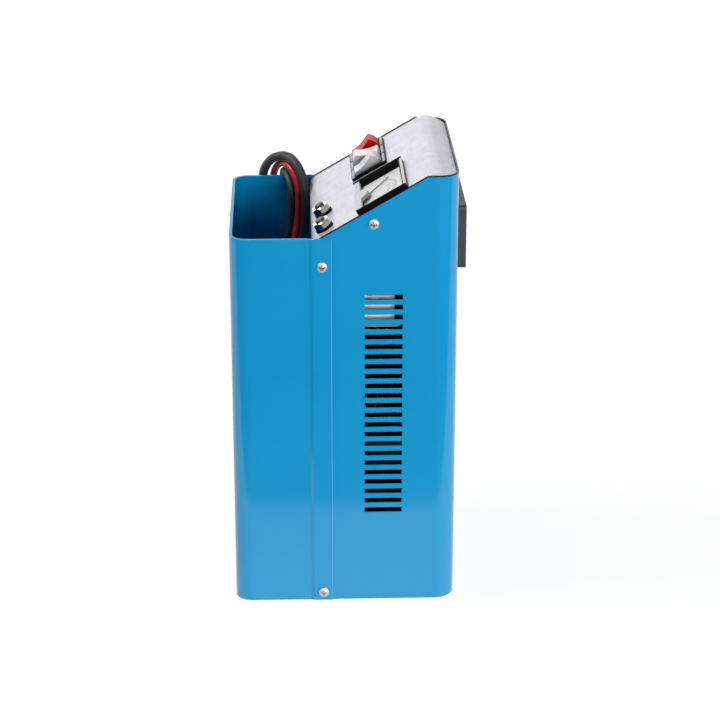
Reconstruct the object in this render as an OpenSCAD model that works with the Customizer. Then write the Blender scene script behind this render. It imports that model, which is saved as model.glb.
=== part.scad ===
// Workshop battery charger with a jump-start position: a tall painted steel case with an
// open lead pocket at its front and a sloping control panel behind the pocket.
// The pocket faces -Y, the carrying grip is on +Y and the unit stands on z = 0.

/* [Case] */
// Width of the case from side to side
body_w = 180; // [170:1:220]
// Depth of the case, from the pocket's front wall to the rear wall
body_d = 180; // [176:1:210]
// Height of the pocket's rim above the bottom edge of the case
rim_h = 312; // [300:1:340]
// Height from the rim up to the top of the slope
slope_rise = 50; // [46:1:56]
// Slope of the control panel
slope_a = 30.4; // [28:0.1:31]
// Distance from the pocket's front wall to the foot of the slope
pocket_reach = 69.4; // [66:0.1:74]
// Thickness of the painted sheet
sheet_t = 1.2; // [0.8:0.1:1.6]
// Outer radius of the two front corners
front_r = 14; // [8:1:20]
// Outer radius of the two rear corners
rear_r = 17; // [10:1:24]
// Height of the rubber feet
foot_h = 3; // [2:0.5:6]
// Diameter of the rubber feet
foot_d = 16; // [12:1:20]

/* [Seam] */
// Distance from the foot of the slope forward to the step in the front shell
step_back = 4.4; // [3:0.1:5]
// Length of the flange that laps over the rear housing
flange_l = 15; // [13:0.5:18]
// Height of the folded hem at the rim
hem_h = 8; // [5:1:12]
// Length of the step in the front shell's sides
joggle_l = 2.5; // [2:0.1:2.8]
// Height of the base plate's side lips
base_lip = 16; // [14:1:24]

/* [Vents] */
// Number of slots in each side
slot_count = 23; // [10:1:25]
// Distance from slot to slot
slot_pitch = 8.32; // [7.5:0.02:8.6]
// Length of a slot
slot_l = 30.2; // [20:0.2:34]
// Height of a slot
slot_h = 4.2; // [3:0.1:5]
// Height of the top slot's middle above the bottom edge of the case
slot_top = 263.6; // [255:0.2:268]
// Distance from the rear wall to the middle of the slots
slot_back = 59; // [54:0.5:64]

/* [Control panel] */
// Thickness of the panel sheet
panel_t = 1.5; // [1:0.1:2]
// How far the panel lies below the edges of the side walls
panel_sink = 0.8; // [0.4:0.1:1.2]
// Gap between the panel and the walls around it
panel_gap = 0.3; // [0.2:0.1:0.6]
// Outer radius of the bend above the pocket
lip_bend_r = 10; // [6:1:12]
// Height of the panel's crest above the side walls at the rear
crown_h = 1.5; // [1:0.1:2]
// Outer radius of the bend at the crest
crown_r = 16; // [12:1:18]
// Fall of the panel behind its crest, in degrees
crown_fall = 14; // [8:1:16]
// Depth of the panel's folded side lips
panel_lip = 20; // [18:1:24]

/* [Rocker switches] */
// Width of a switch frame
switch_w = 24.5; // [24.5:0.1:25]
// Length of a switch frame
switch_l = 32; // [30:0.5:34]
// Distance of a switch frame's lower end from the foot of the slope
switch_s = 35; // [33:0.5:38]
// Distance of the row of switches from the middle of the panel
bank_x = 7.8; // [7:0.1:9]
// Gap between the switches' frames
switch_gap = 0.5; // [0.4:0.1:0.8]
// Angle between a rocker's middle position and its end positions
rocker_tilt = 18; // [12:1:18]
// Width of a rocker
rocker_w = 18.6; // [17:0.1:18.6]

/* [Meter] */
// Width of the meter
meter_w = 76; // [66:0.5:76]
// Length of the meter along the slope
meter_l = 44.5; // [42:0.5:46]
// Height of the meter above the panel
meter_rise = 4.7; // [3.5:0.1:6]
// Distance of the meter's side from the case's side
meter_side = 2.5; // [2.4:0.1:4]
// Distance of the meter's lower end from the foot of the slope
meter_s = 36.5; // [34:0.5:38]
// Depth of the dial below the top of the meter
dial_depth = 6.5; // [5:0.5:9]

/* [Terminal posts] */
// Diameter of the threaded studs
stud_d = 8; // [6:1:8]
// Width across the flats of the nuts
nut_af = 13; // [10:0.5:14]
// Distance of the posts from the foot of the slope
post_s = 6.5; // [6:0.5:8]
// Distance of the nearer post from the side of the case
post_side = 19.6; // [16:0.2:24]
// Distance from post to post
post_pitch = 39.2; // [30:0.2:42]
// Diameter of the insulating bushes
bush_d = 15; // [14.5:0.5:17]

/* [Carrying grip] */
// Width of the grip's frame
grip_w = 110; // [100:1:124]
// Height of the grip's frame
grip_h = 52; // [48:1:58]
// How far the grip stands out of the rear wall
grip_out = 8; // [6:0.5:12]
// Height of the frame's lower edge above the bottom edge of the case
grip_z = 275; // [262:1:282]
// Depth of the finger recess inside the case
recess_d = 26; // [20:1:30]

/* [Transformer] */
// Width of the core
core_w = 96; // [84:1:108]
// Height of the core
core_h = 80; // [72:1:90]
// Thickness of the stack of laminations
core_t = 44; // [34:1:50]
// Width of the core's middle limb
limb_w = 32; // [28:1:36]

/* [Hidden] */
$fn = 48;

// Overlap of shapes that form one solid, the gap between pieces and a shaft's clearance in its hole
eps = 0.01;
gap = 0.3;
running = 0.1;

// The case's own frame has y = 0 at the middle of its depth and z = 0 at its bottom edge
shift_y = -grip_out / 2;
wall_top = rim_h + slope_rise;
half_w = body_w / 2;
front_y = -body_d / 2;
rear_y = body_d / 2;
slope_y = front_y + pocket_reach;
slope_end_y = slope_y + (wall_top - rim_h) / tan(slope_a);
step_y = slope_y - step_back;
flange_y = step_y + flange_l;
inner_w = half_w - sheet_t;

// The panel's bends, and the bulkhead behind its front lip
lip_y = step_y + gap;
lip_drop = 10;
bulk_y = lip_y + panel_t;
bulk_t = 1.5;
bulk_lip = 16;
panel_base_y = slope_y + panel_sink * sin(slope_a);
panel_base_z = rim_h - panel_sink * cos(slope_a);
lip_cy = lip_y + lip_bend_r;
lip_cz = panel_base_z + ((lip_cy - panel_base_y) * sin(slope_a) - lip_bend_r) / cos(slope_a);
lip_bottom = lip_cz - lip_drop;
crown_cz = wall_top + crown_h - crown_r;
crown_cy = panel_base_y + ((crown_cz - panel_base_z) * cos(slope_a) + crown_r) / sin(slope_a);
panel_rear_y = rear_y - sheet_t - panel_gap;
panel_back_lip = 11;

// Screws through the side walls
screw_d = 4;
screw_head_d = 8;
screw_head_h = 2.6;
hem_end = 4;
seam_screw_y = step_y + flange_l / 2;
seam_screw_top = rim_h - 22.5;
seam_screw_low = base_lip / 2 - 0.6;
seam_screw_l = 8;
panel_screw_reach = 43.6;
panel_screw_y = slope_y + panel_screw_reach;
panel_screw_z = rim_h + panel_screw_reach * tan(slope_a) - 13.6;
panel_screw_l = 5;

// The rocker's section: two raised ends around a hollow, on a hinge across the frame
rocker_r = 12.3;
rocker_corner = 39;
rocker_hollow_r = 34;
rocker_axis_h = 1;
rocker_skirt = 6;
frame_rise = 2.4;
frame_lap = 2;
switch_depth = 24;
tab_l = 9;
pivot_r = 0.8;
pivot_out = 1.6;
switch_mid = switch_s + switch_l / 2;

// The meter's well
meter_x = half_w - meter_side - meter_w / 2;
meter_mid = meter_s + meter_l / 2;
meter_wall = 1.6;
meter_rim = 0.8;
barrel_inset = 1.5;
barrel_depth = 8;
movement_d = meter_l - 4;
movement_depth = 30;
cover_t = 1;
dial_t = 0.8;
mask_l = 5.4;
mask_low = 0.8;
strip_l = 2.2;
strip_t = 1.2;
mask_boss_r = 13;
well_floor = meter_rise - dial_depth - dial_t;
needle_s = meter_s + 6;
needle_rest = 42;
needle_l = 31;
hub_r = 2.2;
hub_hole_r = 3;
hub_depth = 8;

// The posts' stack, from the panel outwards
bush_flange = 1.8;
bush_neck_d = stud_d + 4;
bush_tail = panel_t + 3;
washer_t = 1;
nut_h = 4.8;
stud_out = bush_flange + washer_t + nut_h + 1.8;
stud_in = 14;
inner_nut_h = 5;

// The grip's frame and its recess
grip_wall = 2.5;
recess_w = grip_w - 28;
recess_h = grip_h - 19;

// The base plate with its side lips and feet
base_t = 1.5;
base_lip_l = 120;
foot_x = half_w - 24;
foot_y = body_d / 2 - 26;
foot_stem_d = 6;

// The transformer stands on the base plate, in two angles
core_y = (bulk_y + bulk_t + rear_y - sheet_t) / 2;
window_w = (core_w - limb_w) / 4;
winding_out = 12;
winding_gap = 0.5;
core_bolt_d = 5;
core_bolt_head = 3.2;
bracket_t = 2;
bracket_foot_w = 20;
bracket_foot_l = 22;
bracket_hole = 14;

// The rectifier's finned plate and the shelf of the thermal breaker, on the back of the bulkhead
plate_w = 84;
plate_h = 70;
plate_t = 3;
plate_z = 160;
fin_count = 7;
fin_t = 1.8;
fin_h = 9;
diode_x = 19;
diode_z = plate_z + plate_h / 2;
shelf_x = half_w - 28;
shelf_w = 40;
shelf_l = 66;
shelf_h = 34;
shelf_t = 1.5;
shelf_z = 236;
breaker_y = 45;
breaker_w = 24;
breaker_l = 34;
breaker_h = 22;
bulkhead_screw_l = 6.5;

// Leads and what is on them, placed in the unit's frame. A lead starts at the end of its gland.
mains_d = 7.6;
lead_d = 6.2;
mains_route = [[-74, -50, 120], [-74, -55, 120], [-74, -67, 123.5], [-74, -78, 133], [-74, -82, 150],
    [-73.5, -79, 172], [-72.5, -69, 193], [-71, -55, 213], [-69, -43, 233], [-66, -35.5, 256],
    [-63, -33, 282], [-62, -33, 305], [-63.5, -34.1, 315.9], [-67.9, -37.2, 325.1], [-74.3, -42, 331.2],
    [-82, -47.5, 333.4], [-90.4, -55.7, 331.2], [-97.6, -62.7, 325.1], [-102.3, -67.4, 315.9],
    [-104, -69, 305], [-104, -70, 285], [-104, -70, 150], [-104, -70, 42], [-106.5, -70, 26],
    [-114, -70, 12.5], [-127, -70, 5], [-145, -70, 4], [-200, -70, 4], [-228, -70, 12], [-246, -70, 18],
    [-256, -70, 18]];
red_route = [[-50, -38, 120], [-50, -46, 120], [-51, -58, 124], [-52.5, -67, 135], [-54, -71, 152],
    [-57, -69, 185], [-60, -62, 215], [-65, -49, 245], [-68.5, -40, 274], [-69, -38.2, 303],
    [-70.3, -39, 311.7], [-73.8, -41.4, 319.1], [-79.2, -44.9, 324.1], [-85.5, -49, 325.8],
    [-94.1, -53.2, 324.1], [-101.4, -56.8, 319.1], [-106.3, -59.2, 311.7], [-108, -60, 303],
    [-108, -60, 150], [-107, -58, 40], [-106, -53, 21], [-106, -42, 8.5], [-107, -27, 4], [-110, 2, 4],
    [-117, 19, 4], [-132, 27, 7], [-152, 28, 14], [-171, 27, 20], [-190, 27, 21.4], [-210, 27, 20],
    [-225, 23.5, 16], [-233, 18.6, 11.2], [-240, 16.2, 9.1], [-247, 16, 9]];
black_route = [[-28, -38, 120], [-28, -46, 120], [-29, -58, 124], [-34, -68, 135], [-39, -72, 152],
    [-47, -73, 185], [-55, -69, 215], [-64, -57, 245], [-70, -46.6, 274], [-71, -44.6, 303],
    [-72.2, -45, 309.1], [-75.6, -46.2, 314.3], [-80.8, -47.9, 317.8], [-86.8, -50, 319],
    [-92.4, -50.6, 317.8], [-97.2, -51.1, 314.3], [-100.4, -51.4, 309.1], [-101.5, -51.5, 303],
    [-100, -51.5, 150], [-99, -51, 40], [-98, -45, 21], [-98, -32, 8], [-99, -16, 4], [-101, 12, 4],
    [-109, 30, 4.5], [-124, 38, 9], [-145, 35, 19], [-167, 29, 29], [-190, 27, 33.8], [-208, 32, 31],
    [-221, 46, 23.5], [-229, 59.5, 16], [-235.5, 68.5, 10.8], [-241, 71.8, 9.1], [-247, 72, 9]];
coil_x = -190;
coil_y = -16.5;
mains_coil_r = 42;
lead_coil_r = 34;
mains_bundle = 2 * mains_d;
lead_bundle = 2 * lead_d;

// Where each lead passes the bulkhead: the start of its route, and the diameter of the hole
gland_flange_t = 2.5;
gland_back_t = 5;
mains_hole_d = 12;
lead_hole_d = 9;

// The mains plug
plug_r = 18;
plug_l = 44;
plug_neck_d = 20;
plug_pin_d = 4.8;
plug_pin_l = 30;
pin_pitch = 19;
pin_seat = 12;

// The battery clamps lie on their sides, with their hinges upright
clamp_x = -315;
red_clamp_y = -4;
black_clamp_y = 52;
clamp_t = 18;
clamp_lift = 0.5;
clamp_pin_d = 5;
clamp_lug_r = 8.6;
clamp_lug_h = 4;
moving_lug_h = 2.2;
handle_x = -60;
handle_y = -20;
handle_r = 6;
handle_sleeve = 8;

// A point list along an arc
function arc(centre, r, from, to, n = 8) =
    [for (i = [0:n]) let (a = from + (to - from) * i / n) centre + r * [cos(a), sin(a)]];

// Unit vectors and the directions along a route
function unit(v) = v / norm(v);
function along(route, i) =
    unit(route[min(i + 1, len(route) - 1)] - route[max(i - 1, 0)]);
function sides(route) =
    [for (i = 0, u = unit(cross(along(route, 0), [0.2, 0.1, 1]));
        i < len(route);
        i = i + 1, u = i < len(route) ? unit(u - (u * along(route, i)) * along(route, i)) : u) u];

// The case's frame, and the panel's frame with z out of the panel and y up the slope
module in_case() translate([0, shift_y, foot_h]) children();
module on_panel(x, s)
    in_case() translate([x, panel_base_y, panel_base_z]) rotate([slope_a, 0, 0])
        translate([0, s, 0]) children();
module along_x(l) rotate([90, 0, 90]) linear_extrude(l, center = true) children();
module along_y() rotate([90, 0, 0]) children();

// A plan outline that is open at y1 and has round corners at y0
module wrap(w, r, y0, y1) {
    dir = sign(y1 - y0);
    translate([-w / 2, min(y0 + dir * r, y1)]) square([w, abs(y1 - y0) - r]);
    translate([-w / 2 + r, min(y0, y0 + dir * r)]) square([w - 2 * r, r]);
    for (side = [-1, 1])
        translate([side * (w / 2 - r), y0 + dir * r]) circle(r);
}

// The plan outline of the whole case, set in by a distance
module case_outline(inset) {
    wrap(body_w - 2 * inset, front_r - inset, front_y + inset, eps);
    wrap(body_w - 2 * inset, rear_r - inset, rear_y - inset, 0);
}

// A rectangle with round corners
module rounded(w, h, r) {
    square([w - 2 * r, h], center = true);
    square([w, h - 2 * r], center = true);
    for (x = [-1, 1]) for (y = [-1, 1])
        translate([x * (w / 2 - r), y * (h / 2 - r)]) circle(r);
}

// The holes through the side walls and what is screwed to them
module side_holes(d) {
    points = [[seam_screw_y, seam_screw_top], [seam_screw_y, seam_screw_low],
        [panel_screw_y, panel_screw_z]];
    for (p = points)
        translate([0, p[0], p[1]]) rotate([0, 90, 0]) cylinder(d = d, h = body_w + 20, center = true);
}

// The wrap-around front wall of the pocket: a hem at its rim, and flanges that lap over the housing
module front_shell() color("dodgerblue") in_case() difference() {
    union() {
        linear_extrude(rim_h) {
            difference() {
                wrap(body_w, front_r, front_y, step_y - joggle_l);
                wrap(body_w - 2 * sheet_t, front_r - sheet_t, front_y + sheet_t, step_y);
            }
            for (side = [-1, 1])
                scale([side, 1])
                    polygon([[inner_w, step_y - joggle_l - eps], [half_w, step_y - joggle_l - eps],
                        [half_w + sheet_t, step_y], [half_w + sheet_t, flange_y], [half_w, flange_y],
                        [half_w, step_y]]);
        }
        translate([0, 0, rim_h - hem_h]) linear_extrude(hem_h) difference() {
            wrap(body_w - 2 * sheet_t, front_r - sheet_t, front_y + sheet_t, step_y - hem_end);
            wrap(body_w - 4 * sheet_t, front_r - 2 * sheet_t, front_y + 2 * sheet_t, step_y);
        }
    }
    side_holes(screw_d);
}

// The housing of the rear part, open to the front, with its walls cut along the slope
module rear_housing() color("dodgerblue") in_case() difference() {
    linear_extrude(wall_top) difference() {
        wrap(body_w, rear_r, rear_y, step_y + gap);
        wrap(body_w - 2 * sheet_t, rear_r - sheet_t, rear_y - sheet_t, step_y);
    }
    along_x(body_w + 10)
        polygon([[step_y - 5, rim_h], [slope_y, rim_h], [slope_end_y, wall_top],
            [slope_end_y, wall_top + 5], [step_y - 5, wall_top + 5]]);
    for (i = [0:slot_count - 1])
        translate([0, rear_y - slot_back, slot_top - i * slot_pitch])
            cube([body_w + 10, slot_l, slot_h], center = true);
    side_holes(screw_d);
    translate([0, rear_y, grip_z + grip_h / 2]) {
        cube([recess_w + 2 * grip_wall + gap, 20, recess_h + 2 * grip_wall + gap], center = true);
        grip_screw_places() along_y() cylinder(d = screw_d, h = 20, center = true);
    }
}

module base_plate() color("silver") in_case() difference() {
    union() {
        linear_extrude(base_t) case_outline(sheet_t + gap);
        for (side = [-1, 1])
            translate([side * (inner_w - base_t / 2), 0, base_lip / 2])
                cube([base_t, base_lip_l, base_lip], center = true);
    }
    side_holes(screw_d);
    for (x = [-1, 1]) for (y = [-1, 1])
        translate([x * foot_x, y * foot_y, -1]) cylinder(d = foot_stem_d, h = base_t + 2);
    core_foot_places() translate([0, 0, -1]) cylinder(d = screw_d, h = base_t + 2);
}

// The inner wall between the pocket and the electrical parts
module bulkhead() color("midnightblue") in_case() difference() {
    union() {
        translate([-inner_w + bulk_t, bulk_y, base_t])
            cube([2 * (inner_w - bulk_t), bulk_t, lip_cz - 1 - base_t]);
        for (side = [-1, 1])
            translate([side * (inner_w - bulk_t / 2) - bulk_t / 2, bulk_y, base_lip + 2])
                cube([bulk_t, bulk_lip, lip_cz - 3 - base_lip]);
    }
    side_holes(screw_d);
    gland_hole(mains_route[0], mains_hole_d);
    gland_hole(red_route[0], lead_hole_d);
    gland_hole(black_route[0], lead_hole_d);
    bulkhead_screw_places() cylinder(d = screw_d, h = 20, center = true);
}

module gland_hole(start, d)
    translate([start[0], bulk_y, start[2] - foot_h]) along_y() cylinder(d = d, h = 20, center = true);

// Screws that hold the rectifier's plate and the breaker's shelf
module bulkhead_screw_places() {
    points = concat([for (x = [-30, 30]) for (z = [10, plate_h - 10]) [x, plate_z + z]],
        [for (x = [-10, 10]) [shelf_x + x, shelf_z + shelf_h - 12]]);
    for (p = points)
        translate([p[0], bulk_y, p[1]]) along_y() children();
}

module panel_section() {
    outer = concat([[lip_y, lip_bottom]], arc([lip_cy, lip_cz], lip_bend_r, 180, 90 + slope_a),
        arc([crown_cy, crown_cz], crown_r, 90 + slope_a, 90 - crown_fall), [panel_rear_top()]);
    inner = concat([[lip_y + panel_t, lip_bottom]],
        arc([lip_cy, lip_cz], lip_bend_r - panel_t, 180, 90 + slope_a),
        arc([crown_cy, crown_cz], crown_r - panel_t, 90 + slope_a, 90 - crown_fall),
        [panel_rear_top() - [0, panel_t / cos(crown_fall)]]);
    polygon(concat(outer, [for (i = [len(inner) - 1:-1:0]) inner[i]]));
}

function panel_rear_top() =
    let (p = [crown_cy, crown_cz] + crown_r * [sin(crown_fall), cos(crown_fall)])
    [panel_rear_y, p[1] - (panel_rear_y - p[0]) * tan(crown_fall)];

// The bare metal panel: a front lip, the slope, a crest over the housing's rear and folded lips
module control_panel() color("gainsboro") difference() {
    in_case() intersection() {
        union() {
            along_x(2 * (inner_w - panel_gap)) panel_section();
            translate([0, panel_rear_y - panel_t / 2, panel_rear_top()[1] - panel_back_lip / 2 - 1])
                cube([body_w - 2 * rear_r, panel_t, panel_back_lip], center = true);
            for (side = [-1, 1])
                translate([side * (inner_w - panel_gap - panel_t / 2), 0, 0])
                    along_x(panel_t) panel_side();
        }
        translate([0, 0, lip_bottom - panel_lip]) linear_extrude(wall_top)
            wrap(2 * (inner_w - panel_gap), rear_r - sheet_t - panel_gap, panel_rear_y, lip_y);
    }
    in_case() side_holes(screw_d);
    panel_cuts();
}

// The folded side lip under the slope, from above the bulkhead's lips to the start of the crest
module panel_side() {
    y0 = bulk_y + bulk_lip + 2;
    y1 = crown_cy - 12;
    polygon([[y0, under_panel(y0)], [y1, under_panel(y1)], [y1, under_panel(y1) - panel_lip],
        [y0, under_panel(y0) - panel_lip]]);
}

function under_panel(y) =
    panel_base_z + (y - panel_base_y) * tan(slope_a) - panel_t / 2 / cos(slope_a);

module panel_cuts() {
    for (i = [0:2])
        on_panel(switch_x(i), switch_mid)
            cube([switch_w - 2 * frame_lap + gap, switch_l - 2 * frame_lap + gap, 20], center = true);
    on_panel(meter_x, meter_mid)
        cube([meter_w - 2 * barrel_inset + gap, meter_l - 2 * barrel_inset + gap, 20], center = true);
    for (x = post_xs())
        on_panel(x, post_s) cylinder(d = bush_neck_d, h = 20, center = true);
}

function post_xs() = [half_w - post_side - post_pitch, half_w - post_side];

// A rubber foot with a stem that snaps through the base plate
module foot(x, y) color("black") in_case() translate([x * foot_x, y * foot_y, 0]) {
    translate([0, 0, -foot_h]) cylinder(d1 = foot_d - 2, d2 = foot_d, h = foot_h);
    cylinder(d = foot_stem_d, h = base_t);
    translate([0, 0, base_t]) cylinder(d1 = foot_stem_d + 2, d2 = foot_stem_d - 1, h = 2.5);
}

module foot_front_left() foot(-1, -1);
module foot_front_right() foot(1, -1);
module foot_rear_left() foot(-1, 1);
module foot_rear_right() foot(1, 1);

// A pan-head screw along -Z with its head on z = 0 and a cross recess
module pan_screw(l) {
    dome_r = 6.4;
    difference() {
        intersection() {
            cylinder(d = screw_head_d, h = screw_head_h);
            translate([0, 0, screw_head_h - dome_r]) sphere(r = dome_r);
        }
        for (a = [0, 90])
            rotate([0, 0, a]) translate([0, 0, screw_head_h]) cube([4.4, 1, 2.4], center = true);
    }
    translate([0, 0, -l]) cylinder(d = screw_d, h = l + eps);
}

module side_screws() color("silver") in_case() for (side = [-1, 1]) {
    for (z = [seam_screw_top, seam_screw_low])
        translate([side * (half_w + sheet_t), seam_screw_y, z])
            rotate([0, side * 90, 0]) pan_screw(seam_screw_l);
    translate([side * half_w, panel_screw_y, panel_screw_z])
        rotate([0, side * 90, 0]) pan_screw(panel_screw_l);
}

module grip_screw_places()
    for (x = [-1, 1]) for (z = [-1, 1])
        translate([x * (grip_w / 2 - 7), 0, z * (grip_h / 2 - 8)]) children();

// The carrying grip: a frame on the rear wall around a recess for the fingers
module rear_grip() color("dimgray") in_case() translate([0, rear_y, grip_z + grip_h / 2]) difference() {
    union() {
        rotate([-90, 0, 0]) linear_extrude(grip_out) rounded(grip_w, grip_h, 3);
        translate([0, -recess_d / 2, 0])
            cube([recess_w + 2 * grip_wall, recess_d + eps, recess_h + 2 * grip_wall], center = true);
    }
    translate([-recess_w / 2, grip_wall - recess_d, -recess_h / 2]) cube([recess_w, 60, recess_h]);
    grip_screw_places() rotate([-90, 0, 0]) {
        translate([0, 0, -1]) cylinder(d = screw_d, h = grip_out + 2);
        translate([0, 0, grip_out - screw_head_h]) cylinder(d = screw_head_d + 2 * gap, h = 10);
    }
}

module grip_screws() color("silver") in_case() translate([0, rear_y, grip_z + grip_h / 2])
    grip_screw_places() translate([0, grip_out - screw_head_h, 0])
        rotate([-90, 0, 0]) pan_screw(grip_out + 4);

// The meter's black case: a frame on the panel, a barrel behind it and the well of the dial
module meter_case() color("black") on_panel(meter_x, meter_mid) difference() {
    union() {
        linear_extrude(meter_rise) rounded(meter_w, meter_l, 1);
        translate([0, 0, -barrel_depth]) linear_extrude(barrel_depth + eps)
            square([meter_w - 2 * barrel_inset, meter_l - 2 * barrel_inset], center = true);
        translate([0, 0, -movement_depth]) cylinder(d = movement_d, h = movement_depth);
    }
    translate([0, 0, well_floor]) linear_extrude(20) well_outline(0);
    translate([0, 0, meter_rise - cover_t]) linear_extrude(5)
        square([meter_w - 2 * meter_rim, meter_l + 2], center = true);
    translate([0, 0, mask_low]) linear_extrude(20) mask_outline(0, 1);
    translate([0, 0, meter_rise - cover_t - strip_t]) linear_extrude(5) strip_outline(0, 1);
    translate([0, needle_s - meter_mid, well_floor - hub_depth]) cylinder(r = hub_hole_r, h = 20);
}

// The well's outline lies a little nearer the upper end, to leave room for the movement
module well_outline(inset)
    translate([0, 1])
        square([meter_w - 2 * (barrel_inset + meter_wall + inset),
            meter_l - 2 * (barrel_inset + meter_wall + 1 + inset)], center = true);

module meter_cover() color("white", 0.4) on_panel(meter_x, meter_mid)
    translate([0, 0, meter_rise - cover_t]) linear_extrude(cover_t)
        square([meter_w - 2 * meter_rim - 0.2, meter_l], center = true);

module meter_dial() color("white") on_panel(meter_x, meter_mid) translate([0, 0, well_floor])
    linear_extrude(dial_t) difference() {
        well_outline(0.1);
        translate([0, needle_s - meter_mid]) circle(r = hub_hole_r);
    }

// The light strip at the window's lower end, and the narrow one at its upper end
module mask_outline(inset, out)
    translate([0, -meter_l / 2 + (mask_l - inset - out) / 2])
        square([meter_w - 2 * (meter_rim + inset), mask_l - inset + out], center = true);
module strip_outline(inset, out)
    translate([0, meter_l / 2 - (strip_l - inset - out) / 2])
        square([meter_w - 2 * (meter_rim + inset), strip_l - inset + out], center = true);

// The lower strip carries the round cover of the movement, and the needle turns below it
module meter_mask() color("gainsboro") on_panel(meter_x, meter_mid) {
    top = meter_rise - cover_t;
    translate([0, 0, mask_low]) linear_extrude(top - mask_low) {
        mask_outline(0.1, 0);
        intersection() {
            translate([0, -meter_l / 2 - 1.2]) circle(r = mask_boss_r);
            translate([-mask_boss_r, -meter_l / 2]) square(2 * mask_boss_r);
        }
    }
    translate([0, 0, top - strip_t]) linear_extrude(strip_t) strip_outline(0.1, 0);
}

module meter_needle() color("firebrick") on_panel(meter_x, needle_s) rotate([0, 0, needle_rest]) {
    translate([0, 0, well_floor - hub_depth + gap]) cylinder(r = hub_r, h = hub_depth + 1.5);
    translate([0, 0, well_floor + dial_t + 0.8]) linear_extrude(0.6)
        polygon([[-1.2, -2], [1.2, -2], [0.5, 6], [0.3, needle_l], [-0.3, needle_l], [-0.5, 6]]);
}

// The switches stand in a row, counted from the meter's side
function switch_x(i) = -bank_x - switch_w / 2 - i * (switch_w + switch_gap);

// A switch frame: a bezel with sloping ends, a body below the panel and three flat tabs
module switch_frame(x) on_panel(x, switch_mid) difference() {
    union() {
        difference() {
            linear_extrude(frame_rise) rounded(switch_w, switch_l, 1.2);
            for (end = [-1, 1])
                translate([0, end * (switch_l / 2 + 0.7), frame_rise + 0.6])
                    rotate([end * -30, 0, 0]) cube([switch_w + 4, 6, 2], center = true);
        }
        translate([0, 0, -switch_depth]) linear_extrude(switch_depth + eps)
            square([switch_w - 2 * frame_lap, switch_l - 2 * frame_lap], center = true);
        for (s = [-8, 0, 8])
            translate([0, s, -switch_depth - tab_l / 2 + eps]) cube([6.3, 0.8, tab_l], center = true);
    }
    translate([0, 0, 5]) cube([rocker_w + 2 * gap, 2 * rocker_r + 0.8, 30], center = true);
    translate([0, 0, rocker_axis_h]) rotate([0, 90, 0])
        cylinder(r = pivot_r + running, h = rocker_w + 2 * pivot_out + 0.4, center = true);
}

// A rocker with its upper end (1) or its lower end (-1) standing out
module rocker(x, end) on_panel(x, switch_mid)
    translate([0, 0, rocker_axis_h]) rotate([end * rocker_tilt, 0, 0]) {
    corner = rocker_r * [cos(rocker_corner), sin(rocker_corner)];
    difference() {
        intersection() {
            rotate([0, 90, 0]) cylinder(r = rocker_r, h = rocker_w, center = true);
            translate([-rocker_w, -rocker_r, -rocker_skirt])
                cube([2 * rocker_w, 2 * rocker_r, corner[1] + rocker_skirt]);
        }
        translate([0, 0, corner[1] + sqrt(pow(rocker_hollow_r, 2) - pow(corner[0], 2))])
            rotate([0, 90, 0]) cylinder(r = rocker_hollow_r, h = rocker_w + 2, center = true, $fn = 96);
    }
    rotate([0, 90, 0]) cylinder(r = pivot_r, h = rocker_w + 2 * pivot_out, center = true);
}

module switch_frame_grey() color("black") switch_frame(switch_x(0));
module switch_frame_white() color("black") switch_frame(switch_x(1));
module switch_frame_red() color("black") switch_frame(switch_x(2));
module rocker_grey() color("lightgray") rocker(switch_x(0), 1);
module rocker_white() color("white") rocker(switch_x(1), -1);
module rocker_red() color("red") rocker(switch_x(2), 1);

module post_bush(x) color("black") on_panel(x, post_s) difference() {
    union() {
        cylinder(d = bush_d, h = bush_flange);
        translate([0, 0, -bush_tail]) cylinder(d = bush_neck_d, h = bush_tail + eps);
    }
    translate([0, 0, -20]) cylinder(d = stud_d, h = 40);
}

// The stud, with the nut that clamps it under the panel
module post_stud(x) color("dimgray") on_panel(x, post_s) {
    translate([0, 0, -stud_in]) cylinder(d = stud_d, h = stud_in + stud_out - 0.8);
    translate([0, 0, stud_out - 0.8]) cylinder(d1 = stud_d, d2 = stud_d - 1.6, h = 0.8);
    translate([0, 0, -bush_tail - inner_nut_h])
        cylinder(r = nut_af / 2 / cos(30), h = inner_nut_h, $fn = 6);
}

module post_washer(x) color("silver") on_panel(x, post_s) translate([0, 0, bush_flange]) difference() {
    cylinder(d = nut_af, h = washer_t);
    translate([0, 0, -1]) cylinder(d = stud_d, h = washer_t + 2);
}

// The outer nut, with its corners chamfered at the top
module post_nut(x) color("silver")
    on_panel(x, post_s) translate([0, 0, bush_flange + washer_t]) difference() {
        corner_r = nut_af / 2 / cos(30);
        intersection() {
            cylinder(r = corner_r, h = nut_h, $fn = 6);
            cylinder(r1 = corner_r + nut_h - 0.6, r2 = nut_af / 2 - 0.1, h = nut_h);
        }
        translate([0, 0, -1]) cylinder(d = stud_d, h = nut_h + 2);
    }

module post_bush_left() post_bush(post_xs()[0]);
module post_stud_left() post_stud(post_xs()[0]);
module post_washer_left() post_washer(post_xs()[0]);
module post_nut_left() post_nut(post_xs()[0]);
module post_bush_right() post_bush(post_xs()[1]);
module post_stud_right() post_stud(post_xs()[1]);
module post_washer_right() post_washer(post_xs()[1]);
module post_nut_right() post_nut(post_xs()[1]);

module core_bolt_places()
    for (x = [-1, 1]) for (z = [-1, 1])
        translate([x * (core_w / 2 - window_w / 2), 0, z * (core_h / 2 - window_w / 2)]) children();

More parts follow.
